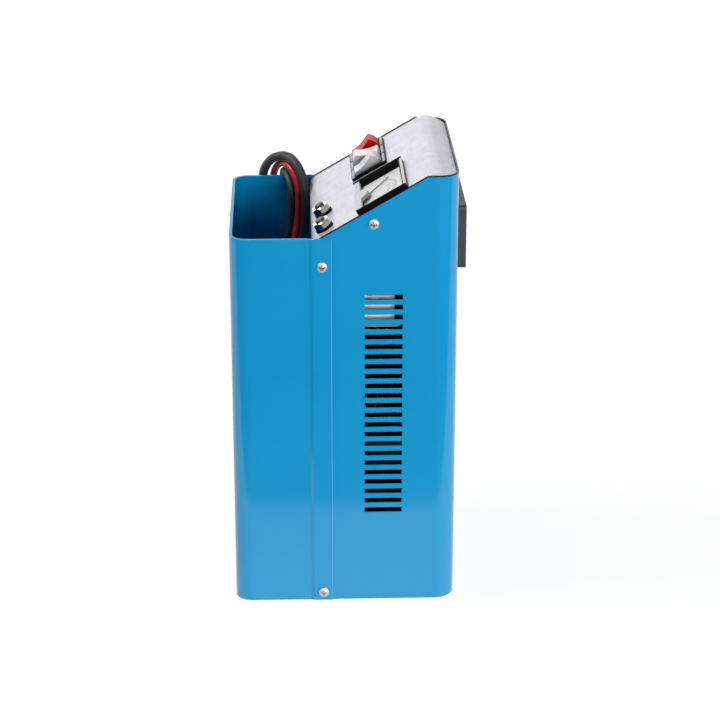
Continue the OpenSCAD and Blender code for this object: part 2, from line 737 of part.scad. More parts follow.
// The stack of laminations, with two windows for the winding
module transformer_core() color("slategray") in_case()
    translate([0, core_y, base_t + core_h / 2]) difference() {
        cube([core_w, core_t, core_h], center = true);
        for (side = [-1, 1])
            translate([side * (limb_w / 2 + window_w / 2), 0, 0])
                cube([window_w, core_t + 2, core_h - 2 * window_w], center = true);
        core_bolt_places() along_y() cylinder(d = core_bolt_d, h = core_t + 2, center = true);
    }

module transformer_winding() color("chocolate") in_case()
    translate([0, core_y, base_t + core_h / 2]) difference() {
        linear_extrude(core_h - 2 * (window_w + winding_gap), center = true)
            rounded(limb_w + 2 * (window_w - winding_gap), core_t + 2 * winding_out, 6);
        cube([limb_w, core_t, core_h], center = true);
    }

// An angle along the foot of the core, on the front (-1) or the rear (1)
module core_bracket(side) color("silver") in_case()
    translate([0, core_y + side * core_t / 2, base_t]) difference() {
        scale([1, side, 1]) {
            translate([-core_w / 2, 0, 0]) cube([core_w, bracket_t, window_w]);
            for (end = [-1, 1])
                translate([end * (core_w - bracket_foot_w) / 2 - bracket_foot_w / 2, 0, 0])
                    cube([bracket_foot_w, bracket_foot_l, bracket_t]);
        }
        translate([0, 0, core_h / 2]) core_bolt_places() along_y()
            cylinder(d = core_bolt_d, h = 20, center = true);
        for (end = [-1, 1])
            translate([end * (core_w - bracket_foot_w) / 2, side * bracket_hole, -1])
                cylinder(d = screw_d, h = 10);
    }

module core_brackets() for (side = [-1, 1]) core_bracket(side);

module core_bolts() color("silver") in_case() translate([0, core_y, base_t + core_h / 2])
    for (x = [-1, 1]) for (z = [-1, 1]) {
        reach = core_t / 2 + (z < 0 ? bracket_t : 0);
        translate([x * (core_w / 2 - window_w / 2), 0, z * (core_h / 2 - window_w / 2)]) along_y() {
            cylinder(d = core_bolt_d, h = 2 * reach + 2 * eps, center = true);
            for (end = [-1, 1])
                translate([0, 0, end * (reach + core_bolt_head / 2)])
                    cylinder(r = 4.4, h = core_bolt_head, center = true, $fn = 6);
        }
    }

module core_foot_places()
    for (x = [-1, 1]) for (side = [-1, 1])
        translate([x * (core_w - bracket_foot_w) / 2, core_y + side * (core_t / 2 + bracket_hole), 0])
            children();

// Screws from below, through the base plate and into the feet of the angles
module core_foot_bolts() color("silver") in_case()
    core_foot_places() rotate([180, 0, 0]) pan_screw(base_t + bracket_t + 2);

// A finned plate on the back of the bulkhead carries the two diodes
module rectifier_plate() color("lightgray") in_case() difference() {
    translate([0, bulk_y + bulk_t, plate_z]) {
        translate([-plate_w / 2, 0, 0]) cube([plate_w, plate_t, plate_h]);
        for (i = [0:fin_count - 1])
            translate([-39 + i * 12.7, plate_t - eps, 0]) cube([fin_t, fin_h, plate_h]);
    }
    bulkhead_screw_places() cylinder(d = screw_d, h = 20, center = true);
    for (x = [-diode_x, diode_x])
        translate([x, bulk_y + bulk_t + plate_t, diode_z]) {
            translate([0, 10, 0]) cube([18, 20, 22], center = true);
            along_y() cylinder(d = 6, h = 20, center = true);
        }
}

module bulkhead_screws() color("silver") in_case() bulkhead_screw_places() pan_screw(bulkhead_screw_l);

module diode(x) color("dimgray") in_case()
    translate([x, bulk_y + bulk_t + plate_t, diode_z]) rotate([-90, 0, 0]) {
        cylinder(d = 14, h = 3);
        translate([0, 0, 3 - eps]) cylinder(d = 10, h = 8);
        translate([0, 0, 11 - 2 * eps]) cylinder(d = 3, h = 8);
        translate([0, 0, -plate_t]) cylinder(d = 6, h = plate_t + eps);
    }

module diodes() for (side = [-1, 1]) diode(side * diode_x);

// An angle on the back of the bulkhead holds the white thermal breaker behind the top slots
module breaker_bracket() color("silver") in_case() difference() {
    translate([shelf_x - shelf_w / 2, bulk_y + bulk_t, shelf_z]) {
        cube([shelf_w, shelf_t, shelf_h]);
        cube([shelf_w, shelf_l, shelf_t]);
    }
    bulkhead_screw_places() cylinder(d = screw_d, h = 20, center = true);
    translate([shelf_x, bulk_y + bulk_t + breaker_y, shelf_z - 1]) cylinder(d = 5, h = shelf_t + 2);
}

module thermal_breaker() color("whitesmoke") in_case()
    translate([shelf_x, bulk_y + bulk_t + breaker_y, shelf_z + shelf_t]) {
        translate([-breaker_w / 2, -breaker_l / 2, 0]) cube([breaker_w, breaker_l, breaker_h]);
        translate([0, 0, -shelf_t]) cylinder(d = 5, h = shelf_t + eps);
        for (s = [-1, 1])
            translate([-breaker_w / 8, s * breaker_l / 4 - 0.5, breaker_h - eps])
                cube([breaker_w / 4, 1, 8]);
    }

// A gland: a collar through the bulkhead, a flange on its front and a tapered sleeve along the lead
module gland(start, hole_d, lead) color("black") {
    face_y = shift_y + bulk_y;
    sleeve = face_y - gland_flange_t - start[1];
    translate([start[0], face_y, start[2]]) along_y() {
        translate([0, 0, -bulk_t - gland_back_t]) cylinder(d = hole_d + 4, h = gland_back_t);
        translate([0, 0, -bulk_t - eps]) cylinder(d = hole_d, h = bulk_t + 2 * eps);
        cylinder(d = hole_d + 6, h = gland_flange_t);
        translate([0, 0, gland_flange_t - eps])
            cylinder(d1 = hole_d + 1, d2 = lead + 1, h = sleeve + eps);
    }
}

module mains_gland() gland(mains_route[0], mains_hole_d, mains_d);
module red_gland() gland(red_route[0], lead_hole_d, lead_d);
module black_gland() gland(black_route[0], lead_hole_d, lead_d);

// A lead along its route
module lead(route, d, n) {
    last = len(route) - 1;
    us = sides(route);
    polyhedron(
        [for (i = [0:last]) let (t = along(route, i), v = cross(t, us[i]))
            for (k = [0:n - 1]) route[i] + d / 2 * (cos(360 * k / n) * us[i] + sin(360 * k / n) * v)],
        concat([[for (k = [0:n - 1]) n - 1 - k]],
            [for (i = [0:last - 1]) for (k = [0:n - 1])
                [i * n + k, i * n + (k + 1) % n, (i + 1) * n + (k + 1) % n, (i + 1) * n + k]],
            [[for (k = [0:n - 1]) last * n + k]]));
}

module ring(r, w, z) translate([coil_x, coil_y, z]) rotate_extrude($fn = 64)
    translate([r, w / 2]) rounded(w, w, w / 4);

module mains_lead() color("black") lead(mains_route, mains_d, 10);
module red_lead() color("firebrick") lead(red_route, lead_d, 8);
module black_lead() color("black") lead(black_route, lead_d, 8);
module mains_coil() color("black") ring(mains_coil_r, mains_bundle, 0);
module red_coil() color("firebrick") ring(lead_coil_r, lead_bundle, mains_bundle);
module black_coil() color("black") ring(lead_coil_r, lead_bundle, mains_bundle + lead_bundle);

// The mains plug lies at the end of its lead, with its pins pointing away from the unit
module in_plug() translate(mains_route[len(mains_route) - 1]) rotate([0, -90, 0]) children();
module plug_body() color("black") in_plug() difference() {
    union() {
        cylinder(d1 = mains_d + 3, d2 = plug_neck_d, h = 14);
        translate([0, 0, 14 - eps]) cylinder(d1 = plug_neck_d, d2 = 2 * plug_r, h = 8);
        translate([0, 0, 22 - 2 * eps]) cylinder(r = plug_r, h = plug_l - 22);
    }
    for (side = [-1, 1]) {
        translate([side * (plug_r - 1.5), 0, plug_l - 10]) cube([5, 6, 22], center = true);
        translate([0, side * pin_pitch / 2, plug_l - pin_seat])
            cylinder(d = plug_pin_d, h = pin_seat + 1);
    }
}

module plug_pins() color("silver") in_plug() for (side = [-1, 1])
    translate([0, side * pin_pitch / 2, plug_l - pin_seat]) {
        cylinder(d = plug_pin_d, h = plug_pin_l);
        translate([0, 0, plug_pin_l - eps]) sphere(d = plug_pin_d);
    }

// A clamp's own frame: the hinge on z, the jaws towards +X, the fixed half on the side y < 0
module in_clamp(y) translate([clamp_x, y, 0]) rotate([0, 0, 180]) children();

// The profile of one half: a toothed jaw, a cheek and a handle
module clamp_half() {
    difference() {
        hull() {
            translate([44, -5]) circle(4.5, $fn = 24);
            translate([16, -8]) circle(7, $fn = 24);
            translate([2, -9]) circle(5, $fn = 24);
        }
        for (i = [0:6])
            translate([17 + i * 4, -0.1]) rotate(45) square(1.8, center = true);
    }
    hull() {
        translate([handle_x, handle_y]) circle(handle_r, $fn = 24);
        translate([-14, -10]) circle(5, $fn = 24);
        translate([2, -9]) circle(5, $fn = 24);
    }
}

// One half with its lugs, each a starting height and a thickness, around the hinge pin
module clamp_part(low, t, lugs, hole_r) difference() {
    union() {
        difference() {
            translate([0, 0, low]) linear_extrude(t) clamp_half();
            translate([0, 0, -1]) cylinder(r = clamp_lug_r + 0.6, h = clamp_t + 2);
        }
        for (lug = lugs)
            translate([0, 0, lug[0]]) linear_extrude(lug[1]) {
                circle(clamp_lug_r);
                polygon([[-8, -3], [8, -3], [13, -12], [-13, -12]]);
            }
    }
    translate([0, 0, -1]) cylinder(r = hole_r, h = clamp_t + 2);
}

module clamp_fixed(y) in_clamp(y) {
    clamp_part(0, clamp_t, [[0, clamp_lug_h], [clamp_t - clamp_lug_h, clamp_lug_h]], clamp_pin_d / 2);
    translate([handle_x, handle_y, clamp_t / 2]) rotate([0, -90, 0])
        cylinder(d = lead_d + 3, h = handle_sleeve);
}

// The moving half stands a little off the floor, and its lugs turn between those of the fixed half
module clamp_moving(y) in_clamp(y) mirror([0, 1, 0]) difference() {
    lug_low = clamp_lug_h + gap;
    clamp_part(clamp_lift, clamp_t - 2 * clamp_lift,
        [[lug_low, moving_lug_h], [clamp_t - lug_low - moving_lug_h, moving_lug_h]],
        clamp_pin_d / 2 + running);
    for (z = [-1, clamp_t - lug_low])
        translate([0, 0, z]) cylinder(r = clamp_lug_r + 4, h = lug_low + 1);
}

module clamp_pin(y) color("silver") in_clamp(y) cylinder(d = clamp_pin_d, h = clamp_t);

// The torsion spring on the hinge pin, with the leg that bears on the fixed handle
module clamp_spring(y) color("gray") in_clamp(y) {
    low = clamp_lug_h + gap + moving_lug_h + 0.2;
    translate([0, 0, low]) {
        difference() {
            cylinder(r = 5.6, h = clamp_t - 2 * low);
            translate([0, 0, -1]) cylinder(r = clamp_pin_d / 2 + 0.2, h = 20);
        }
        translate([-21, -5.4, 0]) rotate([0, 0, 6]) cube([17, 1.6, 1.6]);
    }
}

module red_clamp_fixed() color("red") clamp_fixed(red_clamp_y);
module red_clamp_moving() color("red") clamp_moving(red_clamp_y);
module red_clamp_pin() clamp_pin(red_clamp_y);
module red_clamp_spring() clamp_spring(red_clamp_y);
module black_clamp_fixed() color("black") clamp_fixed(black_clamp_y);
module black_clamp_moving() color("black") clamp_moving(black_clamp_y);
module black_clamp_pin() clamp_pin(black_clamp_y);
module black_clamp_spring() clamp_spring(black_clamp_y);

front_shell();
rear_housing();
base_plate();
bulkhead();
control_panel();
foot_front_left();
foot_front_right();
foot_rear_left();
foot_rear_right();
side_screws();
rear_grip();
grip_screws();
meter_case();
meter_cover();
meter_dial();
meter_mask();
meter_needle();
switch_frame_grey();
rocker_grey();
switch_frame_white();
rocker_white();
switch_frame_red();
rocker_red();
post_bush_left();
post_stud_left();
post_washer_left();
post_nut_left();
post_bush_right();
post_stud_right();
post_washer_right();
post_nut_right();
transformer_core();
transformer_winding();
core_brackets();
core_bolts();
core_foot_bolts();
rectifier_plate();
bulkhead_screws();
diodes();
breaker_bracket();
thermal_breaker();
mains_gland();
red_gland();
black_gland();
mains_lead();
mains_coil();
plug_body();
plug_pins();
red_lead();
red_coil();
red_clamp_fixed();
red_clamp_moving();
red_clamp_pin();
red_clamp_spring();
black_lead();
black_coil();
black_clamp_fixed();
black_clamp_moving();
black_clamp_pin();
black_clamp_spring();
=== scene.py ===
"""Dresses a battery charger with a jump starter: its finishes, leads, dial and small fittings.

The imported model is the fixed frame, in metres. Points that come from the part's own drawing are written in
millimetres and turned into metres where they are used.
"""

import logging
import math
from dataclasses import dataclass, field
from enum import Enum
from typing import Iterable, Sequence

import bmesh
import bpy
from mathutils import Matrix, Vector


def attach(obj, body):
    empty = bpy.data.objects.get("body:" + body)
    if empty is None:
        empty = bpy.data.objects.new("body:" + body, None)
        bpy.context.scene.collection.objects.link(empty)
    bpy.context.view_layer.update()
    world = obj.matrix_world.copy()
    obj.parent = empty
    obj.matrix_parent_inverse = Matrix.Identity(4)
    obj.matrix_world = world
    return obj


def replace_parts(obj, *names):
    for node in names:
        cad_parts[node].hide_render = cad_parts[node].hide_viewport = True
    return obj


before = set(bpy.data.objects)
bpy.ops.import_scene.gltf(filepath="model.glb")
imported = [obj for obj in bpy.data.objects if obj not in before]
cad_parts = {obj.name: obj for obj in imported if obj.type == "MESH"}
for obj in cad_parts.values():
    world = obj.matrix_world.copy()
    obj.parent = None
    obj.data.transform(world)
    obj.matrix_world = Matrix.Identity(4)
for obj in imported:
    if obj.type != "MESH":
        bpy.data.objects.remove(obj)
log = logging.getLogger("charger")

MM = 0.001
Route = tuple[tuple[float, float, float], ...]
Colour = tuple[int, int, int]


class Body(Enum):
    """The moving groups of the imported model."""

    ROOT = "root"
    RED_ROCKER = "red_switch_rocker"
    WHITE_ROCKER = "white_switch_rocker"
    GREY_ROCKER = "grey_switch_rocker"
    POINTER = "meter_pointer"
    RED_JAW = "red_clamp_jaw"
    BLACK_JAW = "black_clamp_jaw"


def linear(colour: Colour) -> tuple[float, float, float, float]:
    """Turns a screen colour into the linear values that shaders read.

    Args:
        colour: Red, green and blue from 0 to 255.

    Returns:
        The linear colour, with an alpha of 1.
    """

    def one(value: int) -> float:
        """Turns one channel."""
        v = value / 255
        return v / 12.92 if v <= 0.04045 else ((v + 0.055) / 1.055) ** 2.4

    return (one(colour[0]), one(colour[1]), one(colour[2]), 1.0)


def shifted(colour: Colour, share: float) -> Colour:
    """Makes a colour lighter or darker.

    Args:
        colour: The screen colour to start from.
        share: The change, as a share of the colour: 0.1 is a tenth lighter.

    Returns:
        The changed screen colour.
    """
    return tuple(max(0, min(255, round(c * (1 + share)))) for c in colour)


@dataclass
class Camera:
    """The photograph's view of the charger."""

    place: tuple[float, float, float] = (1.78026, -0.04802, 0.85859)
    target: tuple[float, float, float] = (0.0, 0.01123, 0.17974)
    lens: float = 113.98
    sensor: float = 36.0
    clip: tuple[float, float] = (0.05, 50.0)

    def build(self) -> None:
        """Makes the camera and gives it to the scene."""
        data = bpy.data.cameras.new("photo_camera")
        data.lens = self.lens
        data.sensor_width = self.sensor
        data.clip_start, data.clip_end = self.clip
        camera = bpy.data.objects.new("photo_camera", data)
        bpy.context.scene.collection.objects.link(camera)
        camera.location = self.place
        camera.rotation_mode = "QUATERNION"
        aim = Vector(self.target) - Vector(self.place)
        camera.rotation_quaternion = aim.to_track_quat("-Z", "Y")
        bpy.context.scene.camera = camera


@dataclass
class NodeBoard:
    """Adds and joins the nodes of one tree."""

    tree: bpy.types.NodeTree

    def add(self, kind: str, **values: object) -> bpy.types.Node:
        """Adds a node.

        Args:
            kind: The node's type name, without the ShaderNode in front.
            values: Properties of the node, or values of its inputs by name with _ for a space.

        Returns:
            The new node.
        """
        node = self.tree.nodes.new(kind if kind.startswith("NodeGroup") else "ShaderNode" + kind)
        for name, value in values.items():
            if hasattr(node, name):
                setattr(node, name, value)
            else:
                node.inputs[name.replace("_", " ")].default_value = value
        return node

    def join(self, start: object, end: bpy.types.NodeSocket) -> None:
        """Feeds an input.

        Args:
            start: The output that it is joined to, or a plain value that is written into it.
            end: The input.
        """
        if isinstance(start, bpy.types.NodeSocket):
            self.tree.links.new(start, end)
        else:
            end.default_value = start

    def math(self, operation: str, *terms: object, clamp: bool = False) -> bpy.types.NodeSocket:
        """Adds one sum.

        Args:
            operation: The Math node's operation.
            terms: Numbers or sockets, one for each input.
            clamp: Keep the result from 0 to 1.

        Returns:
            The result's socket.
        """
        node = self.add("Math", operation=operation, use_clamp=clamp)
        for term, end in zip(terms, node.inputs):
            self.join(term, end)
        return node.outputs[0]

    def spread(
        self, value: bpy.types.NodeSocket, low: float, high: float, start: object = 0.0, end: object = 1.0
    ) -> bpy.types.NodeSocket:
        """Stretches a value's range from low..high to start..end, without going past it.

        Args:
            value: The socket to stretch.
            low: The value that becomes start.
            high: The value that becomes end.
            start: A number or a socket.
            end: A number or a socket.

        Returns:
            The stretched value's socket.
        """
        node = self.add("MapRange", From_Min=low, From_Max=high)
        for name, term in (("Value", value), ("To Min", start), ("To Max", end)):
            self.join(term, node.inputs[name])
        return node.outputs["Result"]

    def blend(self, share: bpy.types.NodeSocket, first: object, second: object) -> bpy.types.NodeSocket:
        """Mixes two colours.

        Args:
            share: How much of the second colour shows, from 0 to 1.
            first: A linear colour or a socket.
            second: A linear colour or a socket.

        Returns:
            The mixed colour's socket.
        """
        node = self.add("Mix", data_type="RGBA")
        self.join(share, node.inputs["Factor"])
        self.join(first, node.inputs[6])
        self.join(second, node.inputs[7])
        return node.outputs[2]

    def place(self) -> bpy.types.NodeSocket:
        """Gives the shaded point in the object's own space."""
        return self.add("TexCoord").outputs["Object"]

    def split(self, vector: bpy.types.NodeSocket) -> bpy.types.NodeOutputs:
        """Splits a vector.

        Args:
            vector: The vector's socket.

        Returns:
            The sockets named X, Y and Z.
        """
        node = self.add("SeparateXYZ")
        self.join(vector, node.inputs[0])
        return node.outputs

    def dot(self, first: bpy.types.NodeSocket, second: bpy.types.NodeSocket) -> bpy.types.NodeSocket:
        """Tells how far two directions agree.

        Args:
            first: One direction.
            second: The other direction.

        Returns:
            The dot product's socket.
        """
        node = self.add("VectorMath", operation="DOT_PRODUCT")
        self.join(first, node.inputs[0])
        self.join(second, node.inputs[1])
        return node.outputs["Value"]


class EffectGroups:
    """The shader node groups that several finishes share, each built once.

    A range is where a pattern goes from none to full, and a floor is how much shows where it is weakest.
    """

    GRAIN_RANGE = (0.35, 0.65)
    LINE_RANGE = (0.3, 0.7)
    EDGE_TURN = (0.995, 0.85)
    EDGE_PATCHES = 350.0
    EDGE_RANGE = (0.3, 0.6)
    EDGE_FLOOR = 0.35
    OPEN_RANGE = (0.45, 0.85)
    DUST_FACING = (0.3, 1.0)
    DUST_PATCHES = 120.0
    DUST_RANGE = (0.4, 0.7)
    DUST_FLOOR = 0.2
    GAP_WIDTH = 0.12

    def __init__(self) -> None:
        """Builds every group."""
        self.drift = self._drift()
        self.grain = self._grain()
        self.streaks = self._streaks()
        self.edges = self._edges()
        self.crevices = self._crevices()
        self.dust = self._dust()
        self.bands = self._bands()

    @staticmethod
    def _begin(
        name: str, inputs: Sequence[tuple[str, float]], outputs: Sequence[str]
    ) -> tuple[NodeBoard, bpy.types.NodeOutputs, bpy.types.NodeInputs]:
        """Starts a group with its sockets.

        Args:
            name: The group's name.
            inputs: Each input's name and first value.
            outputs: The outputs' names.

        Returns:
            The board to build on, the sockets that bring the inputs and those that take the outputs.
        """
        tree = bpy.data.node_groups.new(name, "ShaderNodeTree")
        for socket, value in inputs:
            made = tree.interface.new_socket(socket, in_out="INPUT", socket_type="NodeSocketFloat")
            made.default_value = value
        for socket in outputs:
            tree.interface.new_socket(socket, in_out="OUTPUT", socket_type="NodeSocketFloat")
        board = NodeBoard(tree)
        return board, board.add("NodeGroupInput").outputs, board.add("NodeGroupOutput").inputs

    @staticmethod
    def _noise(
        board: NodeBoard, scale: object, detail: float, vector: bpy.types.NodeSocket
    ) -> bpy.types.NodeSocket:
        """Adds a noise texture.

        Args:
            board: The board to build on.
            scale: A number or a socket.
            detail: How many finer layers it has.
            vector: The point that it reads.

        Returns:
            The noise value's socket.
        """
        node = board.add("TexNoise", Detail=detail)
        board.join(scale, node.inputs["Scale"])
        board.join(vector, node.inputs["Vector"])
        return node.outputs[0]

    def _drift(self) -> bpy.types.ShaderNodeTree:
        """Slow change of tone over a surface.

        Returns:
            The group: Size in metres and Strength in, Tone around 0 out.
        """
        board, ins, outs = self._begin("tone_drift", (("Size", 0.05), ("Strength", 0.1)), ("Tone",))
        scale = board.math("DIVIDE", 1.0, ins["Size"])
        centred = board.math("SUBTRACT", self._noise(board, scale, 2.0, board.place()), 0.5)
        board.join(board.math("MULTIPLY", centred, ins["Strength"]), outs["Tone"])
        return board.tree

    def _grain(self) -> bpy.types.ShaderNodeTree:
        """Fine moulded grain.

        Returns:
            The group: Size in metres in, Height and Mask from 0 to 1 out.
        """
        board, ins, outs = self._begin("fine_grain", (("Size", 0.0008),), ("Height", "Mask"))
        scale = board.math("DIVIDE", 1.0, ins["Size"])
        noise = self._noise(board, scale, 3.0, board.place())
        board.join(noise, outs["Height"])
        board.join(board.spread(noise, *self.GRAIN_RANGE), outs["Mask"])
        return board.tree

    def _streaks(self) -> bpy.types.ShaderNodeTree:
        """Brushed lines along X.

        Returns:
            The group: Size, the width of a line, and Length times that width in, Height and Mask out.
        """
        inputs = (("Size", 0.0006), ("Length", 60.0))
        board, ins, outs = self._begin("brushed_lines", inputs, ("Height", "Mask"))
        place = board.split(board.place())
        drawn = board.add("CombineXYZ")
        board.join(board.math("DIVIDE", place["X"], ins["Length"]), drawn.inputs["X"])
        board.join(place["Y"], drawn.inputs["Y"])
        board.join(place["Z"], drawn.inputs["Z"])
        scale = board.math("DIVIDE", 1.0, ins["Size"])
        noise = self._noise(board, scale, 2.0, drawn.outputs[0])
        board.join(noise, outs["Height"])
        board.join(board.spread(noise, *self.LINE_RANGE), outs["Mask"])
        return board.tree

    def _edges(self) -> bpy.types.ShaderNodeTree:
        """Edges, found where the surface turns: worn on most finishes, a painted highlight on the red
        rocker.

        Returns:
            The group: Radius in metres and Strength in, Mask from 0 to 1 out.
        """
        board, ins, outs = self._begin("edge_wear_and_highlight", (("Radius", 0.0008), ("Strength", 1.0)), ("Mask",))
        bevel = board.add("Bevel", samples=4)
        board.join(ins["Radius"], bevel.inputs["Radius"])
        turn = board.dot(bevel.outputs["Normal"], board.add("NewGeometry").outputs["Normal"])
        patchy = self._noise(board, self.EDGE_PATCHES, 3.0, board.place())
        kept = board.spread(patchy, *self.EDGE_RANGE, self.EDGE_FLOOR, 1.0)
        worn = board.math("MULTIPLY", board.spread(turn, *self.EDGE_TURN), kept)
        board.join(board.math("MULTIPLY", worn, ins["Strength"], clamp=True), outs["Mask"])
        return board.tree

    def _crevices(self) -> bpy.types.ShaderNodeTree:
        """Painted shade in recesses, such as a screw's cross.

        Returns:
            The group: Reach in metres in, Mask from 0 to 1 out.
        """
        board, ins, outs = self._begin("crevice_shade", (("Reach", 0.001),), ("Mask",))
        shade = board.add("AmbientOcclusion", samples=8)
        board.join(ins["Reach"], shade.inputs["Distance"])
        board.join(board.spread(shade.outputs["AO"], *self.OPEN_RANGE, 1.0, 0.0), outs["Mask"])
        return board.tree

    def _dust(self) -> bpy.types.ShaderNodeTree:
        """Thin dust on what faces up.

        Returns:
            The group: Amount in, Mask from 0 to 1 out.
        """
        board, ins, outs = self._begin("settled_dust", (("Amount", 0.1),), ("Mask",))
        facing = board.split(board.add("NewGeometry").outputs["Normal"])
        noise = self._noise(board, self.DUST_PATCHES, 4.0, board.place())
        kept = board.spread(noise, *self.DUST_RANGE, self.DUST_FLOOR, 1.0)
        patchy = board.math("MULTIPLY", board.spread(facing["Z"], *self.DUST_FACING), kept)
        board.join(board.math("MULTIPLY", patchy, ins["Amount"], clamp=True), outs["Mask"])
        return board.tree

    def _bands(self) -> bpy.types.ShaderNodeTree:
        """Layers seen edge on, such as laminations or turns of tape, stacked along Y.

        Returns:
            The group: Pitch in metres in, Height and Mask from 0 to 1 out.
        """
        board, ins, outs = self._begin("stacked_bands", (("Pitch", 0.002),), ("Height", "Mask"))
        turns = board.math("DIVIDE", board.split(board.place())["Y"], ins["Pitch"])
        wave = board.math("PINGPONG", turns, 0.5)
        board.join(board.math("MULTIPLY", wave, 2.0), outs["Height"])
        board.join(board.spread(wave, 0.0, self.GAP_WIDTH, 1.0, 0.0), outs["Mask"])
        return board.tree


@dataclass
class PaintJob:
    """One material at work: its nodes, its shader and the effects that it may use."""

    board: NodeBoard
    shader: bpy.types.Node
    groups: EffectGroups

    def effect(self, tree: bpy.types.ShaderNodeTree, **values: float) -> bpy.types.NodeOutputs:
        """Places a shared effect.

        Args:
            tree: The effect.
            values: The effect's inputs by name.

        Returns:
            The effect's outputs.
        """
        node = self.board.add("Group")
        node.node_tree = tree
        for name, value in values.items():
            node.inputs[name].default_value = value
        return node.outputs

    def feed(self, name: str, term: object) -> None:
        """Feeds the shader's input of that name with a socket or a plain value."""
        self.board.join(term, self.shader.inputs[name])

    def raised(self, height: bpy.types.NodeSocket, depth: float) -> None:
        """Adds a bump.

        Args:
            height: The pattern, from 0 to 1.
            depth: How deep the pattern is, in metres.
        """
        bump = self.board.add("Bump", Distance=depth, Strength=1.0)
        self.board.join(height, bump.inputs["Height"])
        self.feed("Normal", bump.outputs["Normal"])


@dataclass(frozen=True)
class Finish:
    """A finish: the colour and sheen of one kind of surface, with drift of tone, a fine grain and, where
    asked, painted shade in recesses.

    Sizes are in metres. The sheen is how far the roughness goes below and above its own value, as shares.
    """

    name: str
    colour: Colour
    roughness: float
    metallic: float = 0.0
    specular: float = 0.5
    tone: float = 0.10
    tone_size: float = 0.04
    grain: float = 0.0008
    grain_dark: float = 0.5
    bump: float = 0.04
    dust: float = 0.0
    dust_colour: Colour = (168, 164, 158)
    wear_and_highlight: float = 0.0
    wear_and_highlight_colour: Colour = (200, 200, 200)
    # Painted shade in recesses: how far it reaches, and how much darker it makes the colour.
    shade: float = 0.0
    shade_dark: float = 0.85
    sheen: tuple[float, float] = (0.9, 1.1)

    def build(self, groups: EffectGroups) -> bpy.types.Material:
        """Makes the material.

        Args:
            groups: The shared effects.

        Returns:
            The material, with its shader's inputs fed.
        """
        material = bpy.data.materials.new(self.name)
        material.use_nodes = True
        material.diffuse_color = linear(self.colour)
        board = NodeBoard(material.node_tree)
        board.tree.nodes.clear()
        job = PaintJob(board, board.add("BsdfPrincipled"), groups)
        board.join(job.shader.outputs[0], board.add("OutputMaterial").inputs["Surface"])
        job.feed("Metallic", self.metallic)
        job.feed("Specular IOR Level", self.specular)
        self.dress(job)
        return material

    def toned(self, job: PaintJob, mask: bpy.types.NodeSocket | None = None) -> bpy.types.NodeSocket:
        """Adds the drifting and dusty colour, the edge colour (worn on most finishes, a painted highlight on
        the red rocker) and painted shade in recesses.

        Args:
            job: The material at work.
            mask: A finer pattern that darkens the colour a little, if there is one.

        Returns:
            The colour's socket.
        """
        board = job.board
        drift = job.effect(job.groups.drift, Size=self.tone_size, Strength=1.0)
        share = board.math("ADD", drift["Tone"], 0.5, clamp=True)
        dark, light = shifted(self.colour, -self.tone), shifted(self.colour, self.tone)
        colour = board.blend(share, linear(dark), linear(light))
        if mask is not None:
            fine = board.math("MULTIPLY", mask, self.tone, clamp=True)
            colour = board.blend(fine, colour, linear(shifted(self.colour, -self.grain_dark)))
        # Dust, edge colour (worn, and a painted highlight on the red rocker) and painted shade in recesses.
        for effect, name, amount, over in (
            (job.groups.dust, "Amount", self.dust, self.dust_colour),
            (job.groups.edges, "Strength", self.wear_and_highlight, self.wear_and_highlight_colour),
            (job.groups.crevices, "Reach", self.shade, shifted(self.colour, -self.shade_dark)),
        ):
            if amount:
                colour = board.blend(job.effect(effect, **{name: amount})["Mask"], colour, linear(over))
        return colour

    def shined(self, job: PaintJob, mask: bpy.types.NodeSocket) -> None:
        """Lets the roughness follow a pattern.

        Args:
            job: The material at work.
            mask: The pattern, from 0 to 1.
        """
        low, high = (min(1.0, self.roughness * share) for share in self.sheen)
        job.feed("Roughness", job.board.spread(mask, 0.0, 1.0, low, high))

    def pattern(self, job: PaintJob) -> bpy.types.NodeOutputs:
        """Gives the surface's finest pattern, with its Height and Mask: a moulded grain."""
        return job.effect(job.groups.grain, Size=self.grain)

    def dress(self, job: PaintJob) -> None:
        """Feeds the shader's colour, roughness and bump.

        Args:
            job: The material at work.
        """
        pattern = self.pattern(job)
        job.feed("Base Color", self.toned(job, pattern["Mask"]))
        self.shined(job, pattern["Mask"])
        job.raised(pattern["Height"], self.bump * self.grain)


